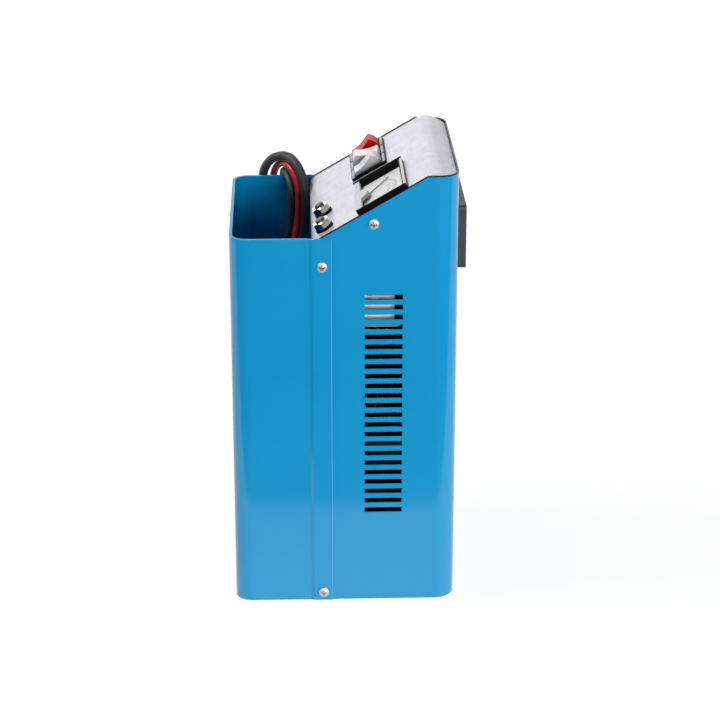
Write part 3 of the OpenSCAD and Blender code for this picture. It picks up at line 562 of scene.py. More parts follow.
@dataclass(frozen=True)
class Enamel(Finish):
    """Stoved gloss paint on sheet steel with a slight orange peel; its colour is paler towards its foot, a
    painted reflection of the white floor.

    It loses its gloss at the pocket's rim. A pale line along the rounded rear edge of the shell's flange is
    a painted highlight. The cut edges of the housing's walls, their inner faces near the top, and the gap
    beside them along the panel are painted dark as painted shade. The cut lies on a plane at cut_slope
    degrees, from cut_foot up to the crest at cut_top. Places are in metres in the part's own frame, and a
    pair is where a mask begins to change and where it has changed.
    """

    coat: float = 0.9
    coat_roughness: float = 0.06
    cloud: float = 0.10
    cloud_size: float = 0.03
    foot_reflection_colour: Colour = (30, 154, 208)
    foot_reflection_height: float = 0.20
    lap_highlight_colour: Colour = (96, 188, 230)
    lap_highlight_strength: float = 0.7
    lap_y: float = -0.0142
    lap_highlight_half: tuple[float, float] = (0.00028, 0.00042)
    lap_x: tuple[float, float] = (0.0909, 0.0910)
    rim_z: tuple[float, float] = (0.3142, 0.3147)
    rim_y: tuple[float, float] = (-0.032, -0.030)
    cut_shade_colour: Colour = (13, 15, 18)
    cut_slope: float = 30.4
    cut_plane: float = 0.28414
    cut_depth: float = 0.0009
    cut_blur: float = 0.0002
    cut_foot: tuple[float, float] = (0.3152, 0.3157)
    cut_top: float = 0.365
    inner_z: tuple[float, float] = (0.359, 0.360)
    inner_facing: float = 0.01

    def dress(self, job: PaintJob) -> None:
        """Feeds the paint's colour, sheen and peel.

        Args:
            job: The material at work.
        """
        board = job.board
        place = board.split(board.place())
        # Painted reflection: the paint is made paler towards its foot, as if it mirrored the white floor.
        low = board.spread(place["Z"], 0.0, self.foot_reflection_height, 1.0, 0.0)
        colour = board.blend(low, self.toned(job), linear(self.foot_reflection_colour))
        # Painted highlight: a pale line on the flange's rounded rear edge.
        colour = board.blend(self._lap_highlight(board, place), colour, linear(self.lap_highlight_colour))
        # Painted shade: the walls' cut edges and the gap beside them are coloured dark.
        cut = self._cut_edge_shade(board, place)
        job.feed("Base Color", board.blend(cut, colour, linear(self.cut_shade_colour)))
        dull = board.math("MAXIMUM", cut, self._rim(board, place))
        job.feed("Coat Weight", board.spread(dull, 0.0, 1.0, self.coat, 0.0))
        job.feed("Coat Roughness", self.coat_roughness)
        cloud = job.effect(job.groups.drift, Size=self.cloud_size, Strength=self.cloud)
        job.feed("Roughness", board.math("ADD", cloud["Tone"], self.roughness))
        job.raised(self.pattern(job)["Height"], self.bump * self.grain)

    def _rim(self, board: NodeBoard, place: bpy.types.NodeOutputs) -> bpy.types.NodeSocket:
        """Finds the pocket's rim, where the paint lies too thin to shine.

        Args:
            board: The material's board.
            place: The point's X, Y and Z.

        Returns:
            The mask's socket.
        """
        top = board.spread(place["Z"], *self.rim_z)
        return board.math("MULTIPLY", top, board.spread(place["Y"], *self.rim_y, 1.0, 0.0))

    def _lap_highlight(self, board: NodeBoard, place: bpy.types.NodeOutputs) -> bpy.types.NodeSocket:
        """Finds the painted highlight: a pale line along the rounded rear edge of the shell's flange.

        Args:
            board: The material's board.
            place: The point's X, Y and Z.

        Returns:
            The mask's socket.
        """
        off = board.math("ABSOLUTE", board.math("SUBTRACT", place["Y"], self.lap_y))
        line = board.spread(off, *self.lap_highlight_half, self.lap_highlight_strength, 0.0)
        side = board.math("ABSOLUTE", place["X"])
        return board.math("MULTIPLY", line, board.spread(side, *self.lap_x))

    def _cut_edge_shade(self, board: NodeBoard, place: bpy.types.NodeOutputs) -> bpy.types.NodeSocket:
        """Finds the painted shade on the cut edges of the housing's walls, on their inner faces near the top
        and in the gap beside them along the panel.

        Args:
            board: The material's board.
            place: The point's X, Y and Z.

        Returns:
            The mask's socket.
        """
        a = math.radians(self.cut_slope)
        rise = board.math("MULTIPLY", place["Z"], math.cos(a))
        run = board.math("MULTIPLY", place["Y"], -math.sin(a))
        over = board.math("SUBTRACT", board.math("ADD", rise, run), self.cut_plane)
        slope = board.spread(over, -self.cut_depth - self.cut_blur, -self.cut_depth)
        slope = board.math("MULTIPLY", slope, board.spread(place["Z"], *self.cut_foot))
        crest = self.cut_top - self.cut_depth
        flat = board.spread(place["Z"], crest - self.cut_blur, crest)
        facing = board.dot(board.add("NewGeometry").outputs["True Normal"], board.place())
        inward = board.spread(facing, -self.inner_facing, self.inner_facing, 1.0, 0.0)
        inside = board.math("MULTIPLY", inward, board.spread(place["Z"], *self.inner_z))
        return board.math("MAXIMUM", slope, board.math("MAXIMUM", flat, inside))


@dataclass(frozen=True)
class BrushedMetal(Finish):
    """Sheet or plated metal with lines from rolling or brushing, and cloudy tone."""

    length: float = 60.0
    sheen: tuple[float, float] = (0.8, 1.2)

    def pattern(self, job: PaintJob) -> bpy.types.NodeOutputs:
        """Gives the metal's lines, with their Height and Mask."""
        return job.effect(job.groups.streaks, Size=self.grain, Length=self.length)


@dataclass(frozen=True)
class Layered(Finish):
    """Laminations or turns of tape, seen edge on."""

    pitch: float = 0.002
    step: float = 0.15
    gap_share: float = 0.7
    gap_dark: float = 0.6
    sheen: tuple[float, float] = (0.85, 1.1)

    def dress(self, job: PaintJob) -> None:
        """Feeds the layers' colour, sheen and steps.

        Args:
            job: The material at work.
        """
        bands = job.effect(job.groups.bands, Pitch=self.pitch)
        gaps = job.board.math("MULTIPLY", bands["Mask"], self.gap_share)
        dark = linear(shifted(self.colour, -self.gap_dark))
        job.feed("Base Color", job.board.blend(gaps, self.toned(job), dark))
        self.shined(job, self.pattern(job)["Mask"])
        job.raised(bands["Height"], self.step * self.pitch)


@dataclass(frozen=True)
class ClearPlastic(Finish):
    """A clear moulded window that shows what lies under it."""

    alpha: float = 0.012
    haze: float = 0.006
    haze_size: float = 0.02

    def dress(self, job: PaintJob) -> None:
        """Feeds the window's thin haze.

        Args:
            job: The material at work.
        """
        haze = job.effect(job.groups.drift, Size=self.haze_size, Strength=self.haze)
        job.feed("Alpha", job.board.math("ADD", haze["Tone"], self.alpha))
        job.feed("Base Color", self.toned(job))
        job.feed("Roughness", self.roughness)


def by_name(*finishes: Finish) -> dict[str, Finish]:
    """Lists finishes under their names."""
    return {finish.name: finish for finish in finishes}


class Palette:
    """Every finish on the charger, built when it is first asked for."""

    SLOTS: dict[str, Finish] = by_name(
        Enamel("blue_enamel", (4, 146, 200), 0.34, specular=0.12, tone=0.02, grain=0.0016, bump=0.008,
               wear_and_highlight=0.3, wear_and_highlight_colour=(72, 170, 214)),
        BrushedMetal("zinc_sheet", (170, 172, 176), 0.42, metallic=0.9, tone=0.10, tone_size=0.012),
        BrushedMetal("bare_panel", (203, 202, 209), 0.50, metallic=0.40, tone=0.07, tone_size=0.010,
                     grain=0.0004, bump=0.05, length=40.0),
        Finish("foot_rubber", (26, 26, 27), 0.75, grain=0.0010, bump=0.10, dust=0.1),
        BrushedMetal("zinc_screws", (206, 208, 211), 0.40, metallic=0.7, tone=0.12, tone_size=0.002,
                     grain=0.0003, length=6.0, shade=0.0012),
        Finish("grip_plastic", (52, 53, 56), 0.55, grain=0.0009, bump=0.16, wear_and_highlight=0.3,
               wear_and_highlight_colour=(96, 97, 100)),
        Finish("black_plastic", (7, 7, 8), 0.46, specular=0.06, grain=0.0007, bump=0.03, wear_and_highlight=0.2,
               wear_and_highlight_colour=(48, 48, 52)),
        ClearPlastic("clear_window", (90, 93, 97), 0.08, specular=0.0, tone=0.01),
        Finish("dial_face", (254, 254, 253), 0.6, tone=0.01, grain=0.0003, bump=0.02),
        Finish("mask_plastic", (214, 215, 219), 0.45, tone=0.03, grain=0.0006, bump=0.05),
        Finish("needle_paint", (116, 16, 16), 0.4, tone=0.05),
        # The red rocker's pink edges are a painted highlight, laid on through the edge mask.
        Finish("red_plastic", (220, 20, 22), 0.40, specular=0.08, tone=0.06, grain=0.0008, bump=0.02,
               wear_and_highlight=0.25, wear_and_highlight_colour=(236, 120, 110)),
        Finish("grey_plastic", (226, 226, 230), 0.30, tone=0.03, grain=0.0008, bump=0.02),
        Finish("white_plastic", (246, 246, 246), 0.30, tone=0.02, grain=0.0008, bump=0.02),
        BrushedMetal("dark_steel", (66, 64, 62), 0.40, metallic=0.9, grain=0.0003, length=4.0),
        BrushedMetal("nickel", (204, 201, 196), 0.14, metallic=1.0, tone=0.10, tone_size=0.003,
                     grain=0.0003, length=8.0, shade=0.0016),
        Layered("core_steel", (22, 23, 26), 0.6, specular=0.15, pitch=0.0014),
        Layered("winding_tape", (176, 128, 58), 0.45, tone=0.12, pitch=0.009),
        BrushedMetal("plate_aluminium", (200, 203, 207), 0.36, metallic=0.9, grain=0.0005),
        BrushedMetal("diode_metal", (150, 148, 144), 0.35, metallic=0.9, grain=0.0003, length=5.0),
        Finish("breaker_plastic", (250, 250, 247), 0.45, tone=0.02),
        Finish("gland_rubber", (22, 22, 23), 0.7, grain=0.0008, bump=0.10),
        Finish("black_cable", (27, 27, 29), 0.52, tone=0.10, tone_size=0.02, grain=0.0006, bump=0.07),
        Finish("red_cable", (172, 24, 38), 0.38, tone=0.10, tone_size=0.02, grain=0.0006, bump=0.05),
        Finish("plug_plastic", (28, 28, 30), 0.55, grain=0.0008, bump=0.12, wear_and_highlight=0.3,
               wear_and_highlight_colour=(74, 74, 77)),
        Finish("red_clamp_plastic", (196, 28, 28), 0.42, tone=0.05, grain=0.0008, bump=0.06, wear_and_highlight=0.3,
               wear_and_highlight_colour=(228, 104, 96)),
        Finish("black_clamp_plastic", (25, 25, 27), 0.45, tone=0.05, grain=0.0008, bump=0.06, wear_and_highlight=0.3,
               wear_and_highlight_colour=(76, 76, 79)),
        BrushedMetal("clamp_steel", (176, 174, 168), 0.30, metallic=1.0, grain=0.0003, length=6.0),
    )
    EXTRAS: dict[str, Finish] = by_name(
        Finish("dial_print", (186, 186, 190), 0.6, tone=0.04, grain=0.0004),
        Finish("bezel_pad", (150, 150, 154), 0.4, tone=0.05, grain=0.0006),
        Finish("tie_webbing", (30, 30, 32), 0.85, grain=0.0005, bump=0.30),
    )

    def __init__(self) -> None:
        """Builds the shared effects and starts with no materials."""
        self.groups = EffectGroups()
        self.made: dict[str, bpy.types.Material] = {}

    def material(self, name: str) -> bpy.types.Material:
        """Gives a finish's material.

        Args:
            name: A slot of the record, or one of the extra finishes.

        Returns:
            The material.
        """
        if name not in self.made:
            self.made[name] = (self.SLOTS | self.EXTRAS)[name].build(self.groups)
        return self.made[name]

    def dress_node(self, node: str, name: str) -> None:
        """Gives a CAD node its finish, and leaves its shape as it is.

        Args:
            node: The CAD node.
            name: The finish.
        """
        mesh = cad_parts[node].data
        mesh.materials.clear()
        mesh.materials.append(self.material(name))


@dataclass
class Bench:
    """Makes the scene's own pieces and hands them to the frame."""

    palette: Palette

    def place(
        self, name: str, data: bpy.types.ID, finish: str, body: Body, slot: str | None = None
    ) -> bpy.types.Object:
        """Puts a piece into the scene.

        Args:
            name: The piece's name.
            data: Its mesh or curve.
            finish: The name of its finish.
            body: The body that it moves with.
            slot: The record's slot that it belongs to, if that isn't its finish; not used.

        Returns:
            The piece.
        """
        piece = bpy.data.objects.new(name, data)
        bpy.context.scene.collection.objects.link(piece)
        data.materials.append(self.palette.material(finish))
        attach(piece, body.value)
        log.info("made %s", name)
        return piece


@dataclass
class Assembly:
    """One sub-assembly, with the bench that its pieces are made at."""

    bench: Bench

    def dress(self, finishes: Iterable[tuple[str, str]]) -> None:
        """Gives CAD nodes their finishes, as pairs of a node and a finish."""
        for node, finish in finishes:
            self.bench.palette.dress_node(node, finish)


class MeshShop:
    """Turns outlines into meshes; points closer than WELD become one."""

    WELD = 1e-7

    @staticmethod
    def finish(
        name: str, bm: bmesh.types.BMesh, matrix: Matrix | None = None, sharp: float = 35.0
    ) -> bpy.types.Mesh:
        """Closes a mesh: outward normals, and smooth shading below an angle.

        Args:
            name: The mesh's name.
            bm: What was built; it is used up.
            matrix: Where the mesh goes, if it was built in a frame of its own.
            sharp: The angle in degrees above which an edge stays sharp.

        Returns:
            The mesh.
        """
        bmesh.ops.remove_doubles(bm, verts=bm.verts, dist=MeshShop.WELD)
        bmesh.ops.recalc_face_normals(bm, faces=bm.faces)
        if matrix is not None:
            bm.transform(matrix)
        for face in bm.faces:
            face.smooth = True
        mesh = bpy.data.meshes.new(name)
        bm.to_mesh(mesh)
        bm.free()
        mesh.set_sharp_from_angle(angle=math.radians(sharp))
        return mesh

    @staticmethod
    def slab(bm: bmesh.types.BMesh, outline: Sequence[tuple[float, float]], low: float, high: float) -> None:
        """Adds a flat plate.

        Args:
            bm: The mesh to add to.
            outline: The plate's corners in order.
            low: The height of its underside.
            high: The height of its top.
        """
        under = [bm.verts.new((x, y, low)) for x, y in outline]
        over = [bm.verts.new((x, y, high)) for x, y in outline]
        bm.faces.new(under)
        bm.faces.new(over)
        for i in range(len(outline)):
            k = (i + 1) % len(outline)
            bm.faces.new((under[i], under[k], over[k], over[i]))

    @staticmethod
    def block(
        bm: bmesh.types.BMesh, half_x: float, rows: tuple[float, float], heights: tuple[float, float]
    ) -> None:
        """Adds a flat rectangular plate.

        Args:
            bm: The mesh to add to.
            half_x: Half its width along X.
            rows: Where it starts and ends along Y.
            heights: The heights of its underside and its top.
        """
        near, far = rows
        MeshShop.slab(bm, ((-half_x, near), (half_x, near), (half_x, far), (-half_x, far)), *heights)

    @staticmethod
    def soften(bm: bmesh.types.BMesh, radius: float) -> None:
        """Rounds every edge of a mesh."""
        bmesh.ops.bevel(bm, geom=bm.edges[:], offset=radius, segments=2, affect="EDGES", profile=0.5)

    @staticmethod
    def strap(
        bm: bmesh.types.BMesh, loop: Sequence[tuple[float, float]], width: float, thickness: float
    ) -> None:
        """Adds a flat strap that follows a closed loop in the XZ plane, with its width along Y.

        Args:
            bm: The mesh to add to.
            loop: The strap's inner line, as x and z.
            width: The strap's width.
            thickness: The strap's thickness, outwards.
        """
        middle = Vector((sum(p[0] for p in loop) / len(loop), sum(p[1] for p in loop) / len(loop)))
        rows = []
        for i, point in enumerate(loop):
            before, after = Vector(loop[i - 1]), Vector(loop[(i + 1) % len(loop)])
            along = (after - before).normalized()
            out = Vector((along.y, -along.x))
            here = Vector(point)
            if out.dot(here - middle) < 0:
                out.negate()
            far = here + out * thickness
            rows.append(
                [
                    bm.verts.new((here.x, -width / 2, here.y)),
                    bm.verts.new((here.x, width / 2, here.y)),
                    bm.verts.new((far.x, width / 2, far.y)),
                    bm.verts.new((far.x, -width / 2, far.y)),
                ]
            )
        for i in range(len(rows)):
            first, second = rows[i], rows[(i + 1) % len(rows)]
            for k in range(4):
                m = (k + 1) % 4
                bm.faces.new((first[k], first[m], second[m], second[k]))


def smooth_loop(corners: Sequence[tuple[float, float]], steps: int) -> list[tuple[float, float]]:
    """Rounds a closed loop through its corners.

    Args:
        corners: The loop's points.
        steps: How many points stand for each side.

    Returns:
        The finer loop.
    """
    made = []
    count = len(corners)
    for i in range(count):
        p = [Vector(corners[(i + k) % count]) for k in (-1, 0, 1, 2)]
        for step in range(steps):
            t = step / steps
            point = 0.5 * (
                2 * p[1]
                + (p[2] - p[0]) * t
                + (2 * p[0] - 5 * p[1] + 4 * p[2] - p[3]) * t * t
                + (3 * p[1] - p[0] - 3 * p[2] + p[3]) * t * t * t
            )
            made.append((point.x, point.y))
    return made


def tube(name: str, points: Sequence[Vector], diameter: float, steps: int, rounding: int) -> bpy.types.Curve:
    """Makes a round lead or wire as a smooth curve.

    Args:
        name: The curve's name.
        points: What it passes through, in metres.
        diameter: Its diameter in millimetres.
        steps: How many straight pieces stand for the way from one point to the next.
        rounding: How finely its round section is drawn, as the curve's bevel resolution.

    Returns:
        The curve.
    """
    curve = bpy.data.curves.new(name, "CURVE")
    curve.dimensions = "3D"
    curve.resolution_u = steps
    curve.bevel_depth = diameter / 2 * MM
    curve.bevel_resolution = rounding
    curve.use_fill_caps = True
    spline = curve.splines.new("BEZIER")
    spline.bezier_points.add(len(points) - 1)
    for knot, point in zip(spline.bezier_points, points):
        knot.co = point
        knot.handle_left_type = knot.handle_right_type = "AUTO"
    return curve


@dataclass(frozen=True)
class CoilTurns:
    """The spare length of a lead: it spirals in on a lower layer and out again on the layer above.

    Lengths are in millimetres. The climb is the share of a turn that the way up to the second layer takes.
    """

    centre: tuple[float, float] = (-190.0, -16.5)
    outer: float = 49.4
    turns: int = 4
    low: float = 3.8
    diameter: float = 7.6
    start_angle: float = -90.0
    sense: int = -1
    steps: int = 18
    climb: float = 0.25

    def points(self) -> list[tuple[float, float, float]]:
        """Winds the turns.

        Returns:
            The points in millimetres, from the first layer's outside to the second layer's outside.
        """
        total = self.turns * self.steps
        half = total / 2
        rise = self.steps * self.climb / 2
        made = []
        for i in range(total + 1):
            inward = min(i, total - i) / self.steps
            radius = self.outer - self.diameter * inward
            share = min(1.0, max(0.0, (i - half + rise) / (2 * rise)))
            z = self.low + self.diameter * share * share * (3 - 2 * share)
            angle = math.radians(self.start_angle + self.sense * 360 * i / self.steps)
            x, y = self.centre[0] + radius * math.cos(angle), self.centre[1] + radius * math.sin(angle)
            made.append((x, y, z))
        return made


@dataclass
class Lead(Assembly):
    """One lead: from its gland, over the pocket's far wall, down outside it and through its coil to its end.

    Its routes, diameter and coil are in millimetres, and its length in metres.
    """

    name: str
    before: Route
    coil: CoilTurns
    after: Route
    diameter: float
    length: float
    far_end: str
    stiffness: str
    finish: str
    nodes: tuple[str, ...]
    fittings: tuple[str, ...]
    steps: int = 6
    rounding: int = 5

    def build(self) -> None:
        points = [Vector(point) * MM for point in (*self.before, *self.coil.points(), *self.after)]
        curve = tube(self.name, points, self.diameter, self.steps, self.rounding)
        piece = self.bench.place(self.name, curve, self.finish, Body.ROOT)
        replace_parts(piece, *self.nodes)


@dataclass
class LeadSet(Assembly):
    """The mains lead and the two jump leads, with the straps that hold their coils.

    The leads' lengths are in metres, and all else is in millimetres.
    """

    mains_route: Route = (
        (-74, -50, 120), (-74, -55, 120), (-74, -67, 123.5), (-74, -78, 133), (-74, -82, 150),
        (-73.5, -79, 172), (-72.5, -69, 193), (-71, -55, 213), (-69, -43, 233), (-66, -35.5, 256),
        (-63, -33, 282), (-62, -33, 305), (-63.5, -34.1, 315.9), (-67.9, -37.2, 325.1), (-74.3, -42, 331.2),
        (-82, -47.5, 333.4), (-90.4, -55.7, 331.2), (-97.6, -62.7, 325.1), (-102.3, -67.4, 315.9),
        (-104, -69, 305), (-104, -70, 285), (-104, -70, 150), (-104, -70, 42), (-106.5, -70, 26),
        (-114, -70, 12.5), (-127, -70, 5), (-145, -70, 4), (-165, -69, 4),
    )
    mains_end: Route = ((-212, -68, 10.5), (-232, -70, 14), (-246, -70, 18), (-256, -70, 18))
    red_route: Route = (
        (-50, -38, 120), (-50, -46, 120), (-51, -58, 124), (-52.5, -67, 135), (-54, -71, 152),
        (-57, -69, 185), (-60, -62, 215), (-65, -49, 245), (-68.5, -40, 274), (-69, -38.2, 303),
        (-70.3, -39, 311.7), (-73.8, -41.4, 319.1), (-79.2, -44.9, 324.1), (-85.5, -49, 325.8),
        (-94.1, -53.2, 324.1), (-101.4, -56.8, 319.1), (-106.3, -59.2, 311.7), (-108, -60, 303),
        (-108, -60, 150), (-107, -58, 40), (-106, -53, 21), (-106, -42, 8.5), (-107, -27, 4), (-110, 2, 4),
        (-117, 19, 4), (-132, 27, 7), (-152, 28, 14), (-170, 26, 18),
    )
    red_end: Route = ((-208, 24, 23), (-223, 23, 17), (-233, 19.5, 12), (-240, 16.4, 9.3), (-247, 16, 9))
    black_route: Route = (
        (-28, -38, 120), (-28, -46, 120), (-29, -58, 124), (-34, -68, 135), (-39, -72, 152),
        (-47, -73, 185), (-55, -69, 215), (-64, -57, 245), (-70, -46.6, 274), (-71, -44.6, 303),
        (-72.2, -45, 309.1), (-75.6, -46.2, 314.3), (-80.8, -47.9, 317.8), (-86.8, -50, 319),
        (-92.4, -50.6, 317.8), (-97.2, -51.1, 314.3), (-100.4, -51.4, 309.1), (-101.5, -51.5, 303),
        (-100, -51.5, 150), (-99, -51, 40), (-98, -45, 21), (-98, -32, 8), (-99, -16, 4), (-101, 12, 4),
        (-109, 30, 4.5), (-124, 38, 9), (-145, 35, 19), (-160, 31, 26), (-172, 27, 29.5),
    )
    black_end: Route = (
        (-207, 27, 34), (-220, 43, 27), (-229, 58, 18), (-235.5, 68, 11.5), (-241, 71.6, 9.3),
        (-247, 72, 9),
    )
    mains_length: float = 1.80
    red_length: float = 1.42
    black_length: float = 1.44
    mains_d: float = 7.6
    lead_d: float = 6.2
    jump_turns: int = 3
    jump_outer: float = 38.75
    strap_w: float = 12.0
    strap_t: float = 0.6
    strap_angles: tuple[float, ...] = (0.0, 180.0)
    strap_loop: tuple[tuple[float, float], ...] = (
        (31, 0.9), (36, 0.7), (42, 0.65), (48, 0.7), (52, 1.4), (54, 4.5), (53.8, 11), (48, 22),
        (42.6, 32), (41.2, 38), (37, 40.4), (30, 40.4), (26.2, 37), (25.6, 28), (26, 18), (28, 5),
    )
    strap_steps: int = 6

    def build(self) -> None:
        """Makes the three leads and the straps."""
        Lead(
            self.bench, name="mains_cord", before=self.mains_route,
            coil=CoilTurns(diameter=self.mains_d, low=self.mains_d / 2), after=self.mains_end,
            diameter=self.mains_d, length=self.mains_length, far_end="plug", stiffness="medium",
            finish="black_cable", nodes=("mains_lead", "mains_coil"), fittings=("plug_body", "plug_pins"),
        ).build()
        base = 2 * self.mains_d + self.lead_d / 2
        for colour, route, low, end, length in (
            ("red", self.red_route, base, self.red_end, self.red_length),
            ("black", self.black_route, base + 2 * self.lead_d, self.black_end, self.black_length),
        ):
            coil = CoilTurns(
                low=low, outer=self.jump_outer, turns=self.jump_turns, diameter=self.lead_d,
                start_angle=90.0, sense=1,
            )
            clamp = tuple(f"{colour}_clamp_{part}" for part in ("fixed", "moving", "pin", "spring"))
            Lead(
                self.bench, name=f"{colour}_jump_cord", before=route, coil=coil, after=end,
                diameter=self.lead_d, length=length, far_end="connector", stiffness="medium",
                finish=f"{colour}_cable", nodes=(f"{colour}_lead", f"{colour}_coil"), fittings=clamp,
            ).build()
        for i, angle in enumerate(self.strap_angles):
            self._strap(f"coil_strap_{i + 1}", angle)

    def _strap(self, name: str, angle: float) -> None:
        """Makes one strap round the stacked coils.

        Args:
            name: The strap's name.
            angle: Where it stands round the coils, in degrees.
        """
        bm = bmesh.new()
        MeshShop.strap(bm, smooth_loop(self.strap_loop, self.strap_steps), self.strap_w, self.strap_t)
        middle = Matrix.Translation(Vector((*CoilTurns().centre, 0)) * MM)
        matrix = middle @ Matrix.Rotation(math.radians(angle), 4, "Z")
        mesh = MeshShop.finish(name, bm, matrix @ Matrix.Scale(MM, 4))
        self.bench.place(name, mesh, "tie_webbing", Body.ROOT)


@dataclass(frozen=True)
class PanelPlane:
    """The sloping panel's own frame, in millimetres: x across, s up the slope, h out of its top surface."""

    edge_y: float = -24.195
    edge_z: float = 314.310
    slope: float = 30.4

    def matrix(self, x: float, s: float, h: float) -> Matrix:
        """Gives the matrix from this frame, moved to a point, to the scene's metres.

        Args:
            x: The point's place across.
            s: The point's place up the slope.
            h: The point's height over the panel.

        Returns:
            The matrix.
        """
        turn = Matrix.Rotation(math.radians(self.slope), 4, "X")
        place = Vector((0, self.edge_y, self.edge_z)) + turn @ Vector((x, s, h))
        return Matrix.Scale(MM, 4) @ Matrix.Translation(place) @ turn


@dataclass
class Ammeter(Assembly):
    """The charging current meter: its dial print over the CAD dial, mask, window and needle.

    Lengths are in millimetres. A tick is its length and half its width, as a share of the scale.
    """

    plane: PanelPlane
    x: float = 49.5
    pivot_s: float = 42.5
    dial_h: float = -1.8
    reach: float = 42.0
    scale_r: float = 29.0
    steps: int = 30
    long_every: int = 5
    long_tick: tuple[float, float] = (3.4, 0.006)
    short_tick: tuple[float, float] = (1.8, 0.0035)
    line: float = 0.35
    number_size: float = 3.6
    number_inset: float = 6.6
    print_low: float = 0.02
    print_t: float = 0.06
    mid_s: float = 58.75
    window_w: float = 74.2
    window_l: float = 44.5
    window_low: float = 3.74
    window_top: float = 4.70
    window_edge: float = 0.25

    def build(self) -> None:
        """Dresses the meter, prints its dial and sets its window."""
        self.dress((
            ("meter_case", "black_plastic"), ("meter_dial", "dial_face"),
            ("meter_mask", "mask_plastic"), ("meter_needle", "needle_paint"),
        ))
        self._scale()
        self._numbers()
        self._window()

    def _window(self) -> None:
        """Makes the clear window with its rounded edges, a hair over its seat."""
        bm = bmesh.new()
        rows = (-self.window_l / 2, self.window_l / 2)
        MeshShop.block(bm, self.window_w / 2, rows, (self.window_low, self.window_top))
        MeshShop.soften(bm, self.window_edge)
        mesh = MeshShop.finish("meter_window", bm, self.plane.matrix(self.x, self.mid_s, 0.0))
        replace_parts(self.bench.place("meter_window", mesh, "clear_window", Body.ROOT), "meter_cover")

    def _spot(self, share: float, radius: float) -> tuple[float, float]:
        """Gives a point of the scale.

        Args:
            share: 0 at the scale's left end and 1 at its right.
            radius: The distance from the pivot.

        Returns:
            The point across and up the slope from the pivot.
        """
        a = math.radians(self.reach - 2 * self.reach * share)
        return (-radius * math.sin(a), radius * math.cos(a))

    def _mark(self, bm: bmesh.types.BMesh, start: float, end: float, out: float) -> None:
        """Adds one printed mark that stands on the arc.

        Args:
            bm: The mesh to add to.
            start: Where it starts along the scale, as a share.
            end: Where it ends along the scale.
            out: How far it goes out from the arc; inwards below 0.
        """
        far = self.scale_r + out
        corners = (
            self._spot(start, self.scale_r), self._spot(end, self.scale_r),
            self._spot(end, far), self._spot(start, far),
        )
        MeshShop.slab(bm, corners, self.print_low, self.print_t)

    def _scale(self) -> None:
        """Makes the arc and its ticks."""
        bm = bmesh.new()
        pieces = self.steps * 2
        for i in range(pieces):
            self._mark(bm, i / pieces, (i + 1) / pieces, self.line)
        for i in range(self.steps + 1):
            length, half = self.short_tick if i % self.long_every else self.long_tick
            self._mark(bm, i / self.steps - half, i / self.steps + half, -length)
        mesh = MeshShop.finish("dial_scale", bm, self.plane.matrix(self.x, self.pivot_s, self.dial_h))
        self.bench.place("dial_scale", mesh, "dial_print", Body.ROOT, "dial_face")

    def _numbers(self) -> None:
        """Makes the numbers under the long ticks."""
        last = self.steps // self.long_every
        for i in range(last + 1):
            name = f"dial_number_{i * self.long_every}"
            text = bpy.data.curves.new(name, "FONT")
            text.body = str(i * self.long_every)
            text.size = self.number_size
            text.align_x, text.align_y = "CENTER", "CENTER"
            text.extrude = self.print_t / 2
            holder = bpy.data.objects.new("text", text)
            bpy.context.scene.collection.objects.link(holder)
            solid = holder.evaluated_get(bpy.context.evaluated_depsgraph_get())
            mesh = bpy.data.meshes.new_from_object(solid)
            bpy.data.objects.remove(holder)
            across, up = self._spot(i / last, self.scale_r - self.number_inset)
            height = self.dial_h + self.print_t
            mesh.transform(self.plane.matrix(self.x + across, self.pivot_s + up, height))
            mesh.materials.clear()
            self.bench.place(name, mesh, "dial_print", Body.ROOT, "dial_face")


@dataclass
class Switches(Assembly):
    """The three rocker switches, with the pale pads on their bezels' ends, in millimetres."""

    plane: PanelPlane
    places: dict[str, float] = field(
        default_factory=lambda: {"red": -70.05, "white": -45.05, "grey": -20.05}
    )
    mid_s: float = 51.0
    width: float = 24.5
    length: float = 32.0
    rise: float = 2.4
    pad_inset: float = 0.6
    pad_l: float = 2.3
    pad_heights: tuple[float, float] = (-0.2, 0.15)
    pad_edge: float = 0.08

    def build(self) -> None:
        """Dresses the switches and makes their pads."""
        for colour, x in self.places.items():
            self.dress((
                (f"switch_frame_{colour}", "black_plastic"), (f"rocker_{colour}", f"{colour}_plastic"),
            ))
            self._pads(f"bezel_pads_{colour}", x)

    def _pads(self, name: str, x: float) -> None:
        """Makes the pale pads on the two ends of a frame.

        Args:
            name: The pads' name.
            x: The switch's place across the panel.
        """
        bm = bmesh.new()
        near = self.length / 2 - self.pad_inset
        for end in (-1, 1):
            rows = (end * near, end * (near - self.pad_l))
            MeshShop.block(bm, self.width / 2 - self.pad_inset, rows, self.pad_heights)
        MeshShop.soften(bm, self.pad_edge)
        mesh = MeshShop.finish(name, bm, self.plane.matrix(x, self.mid_s, self.rise))
        self.bench.place(name, mesh, "bezel_pad", Body.ROOT, "black_plastic")


@dataclass
class Casework(Assembly):
    """The painted housing, its base, the panel and the screws and feet."""

    finishes: dict[str, str] = field(
        default_factory=lambda: {
            "front_shell": "blue_enamel", "rear_housing": "blue_enamel", "base_plate": "zinc_sheet",
            "bulkhead": "blue_enamel", "control_panel": "bare_panel", "foot_front_left": "foot_rubber",
            "foot_front_right": "foot_rubber", "foot_rear_left": "foot_rubber",
            "foot_rear_right": "foot_rubber", "side_screws": "zinc_screws", "rear_grip": "grip_plastic",
            "grip_screws": "zinc_screws", "bulkhead_screws": "zinc_screws",
        }
    )

    def build(self) -> None:
        """Dresses the housing."""
        self.dress(self.finishes.items())


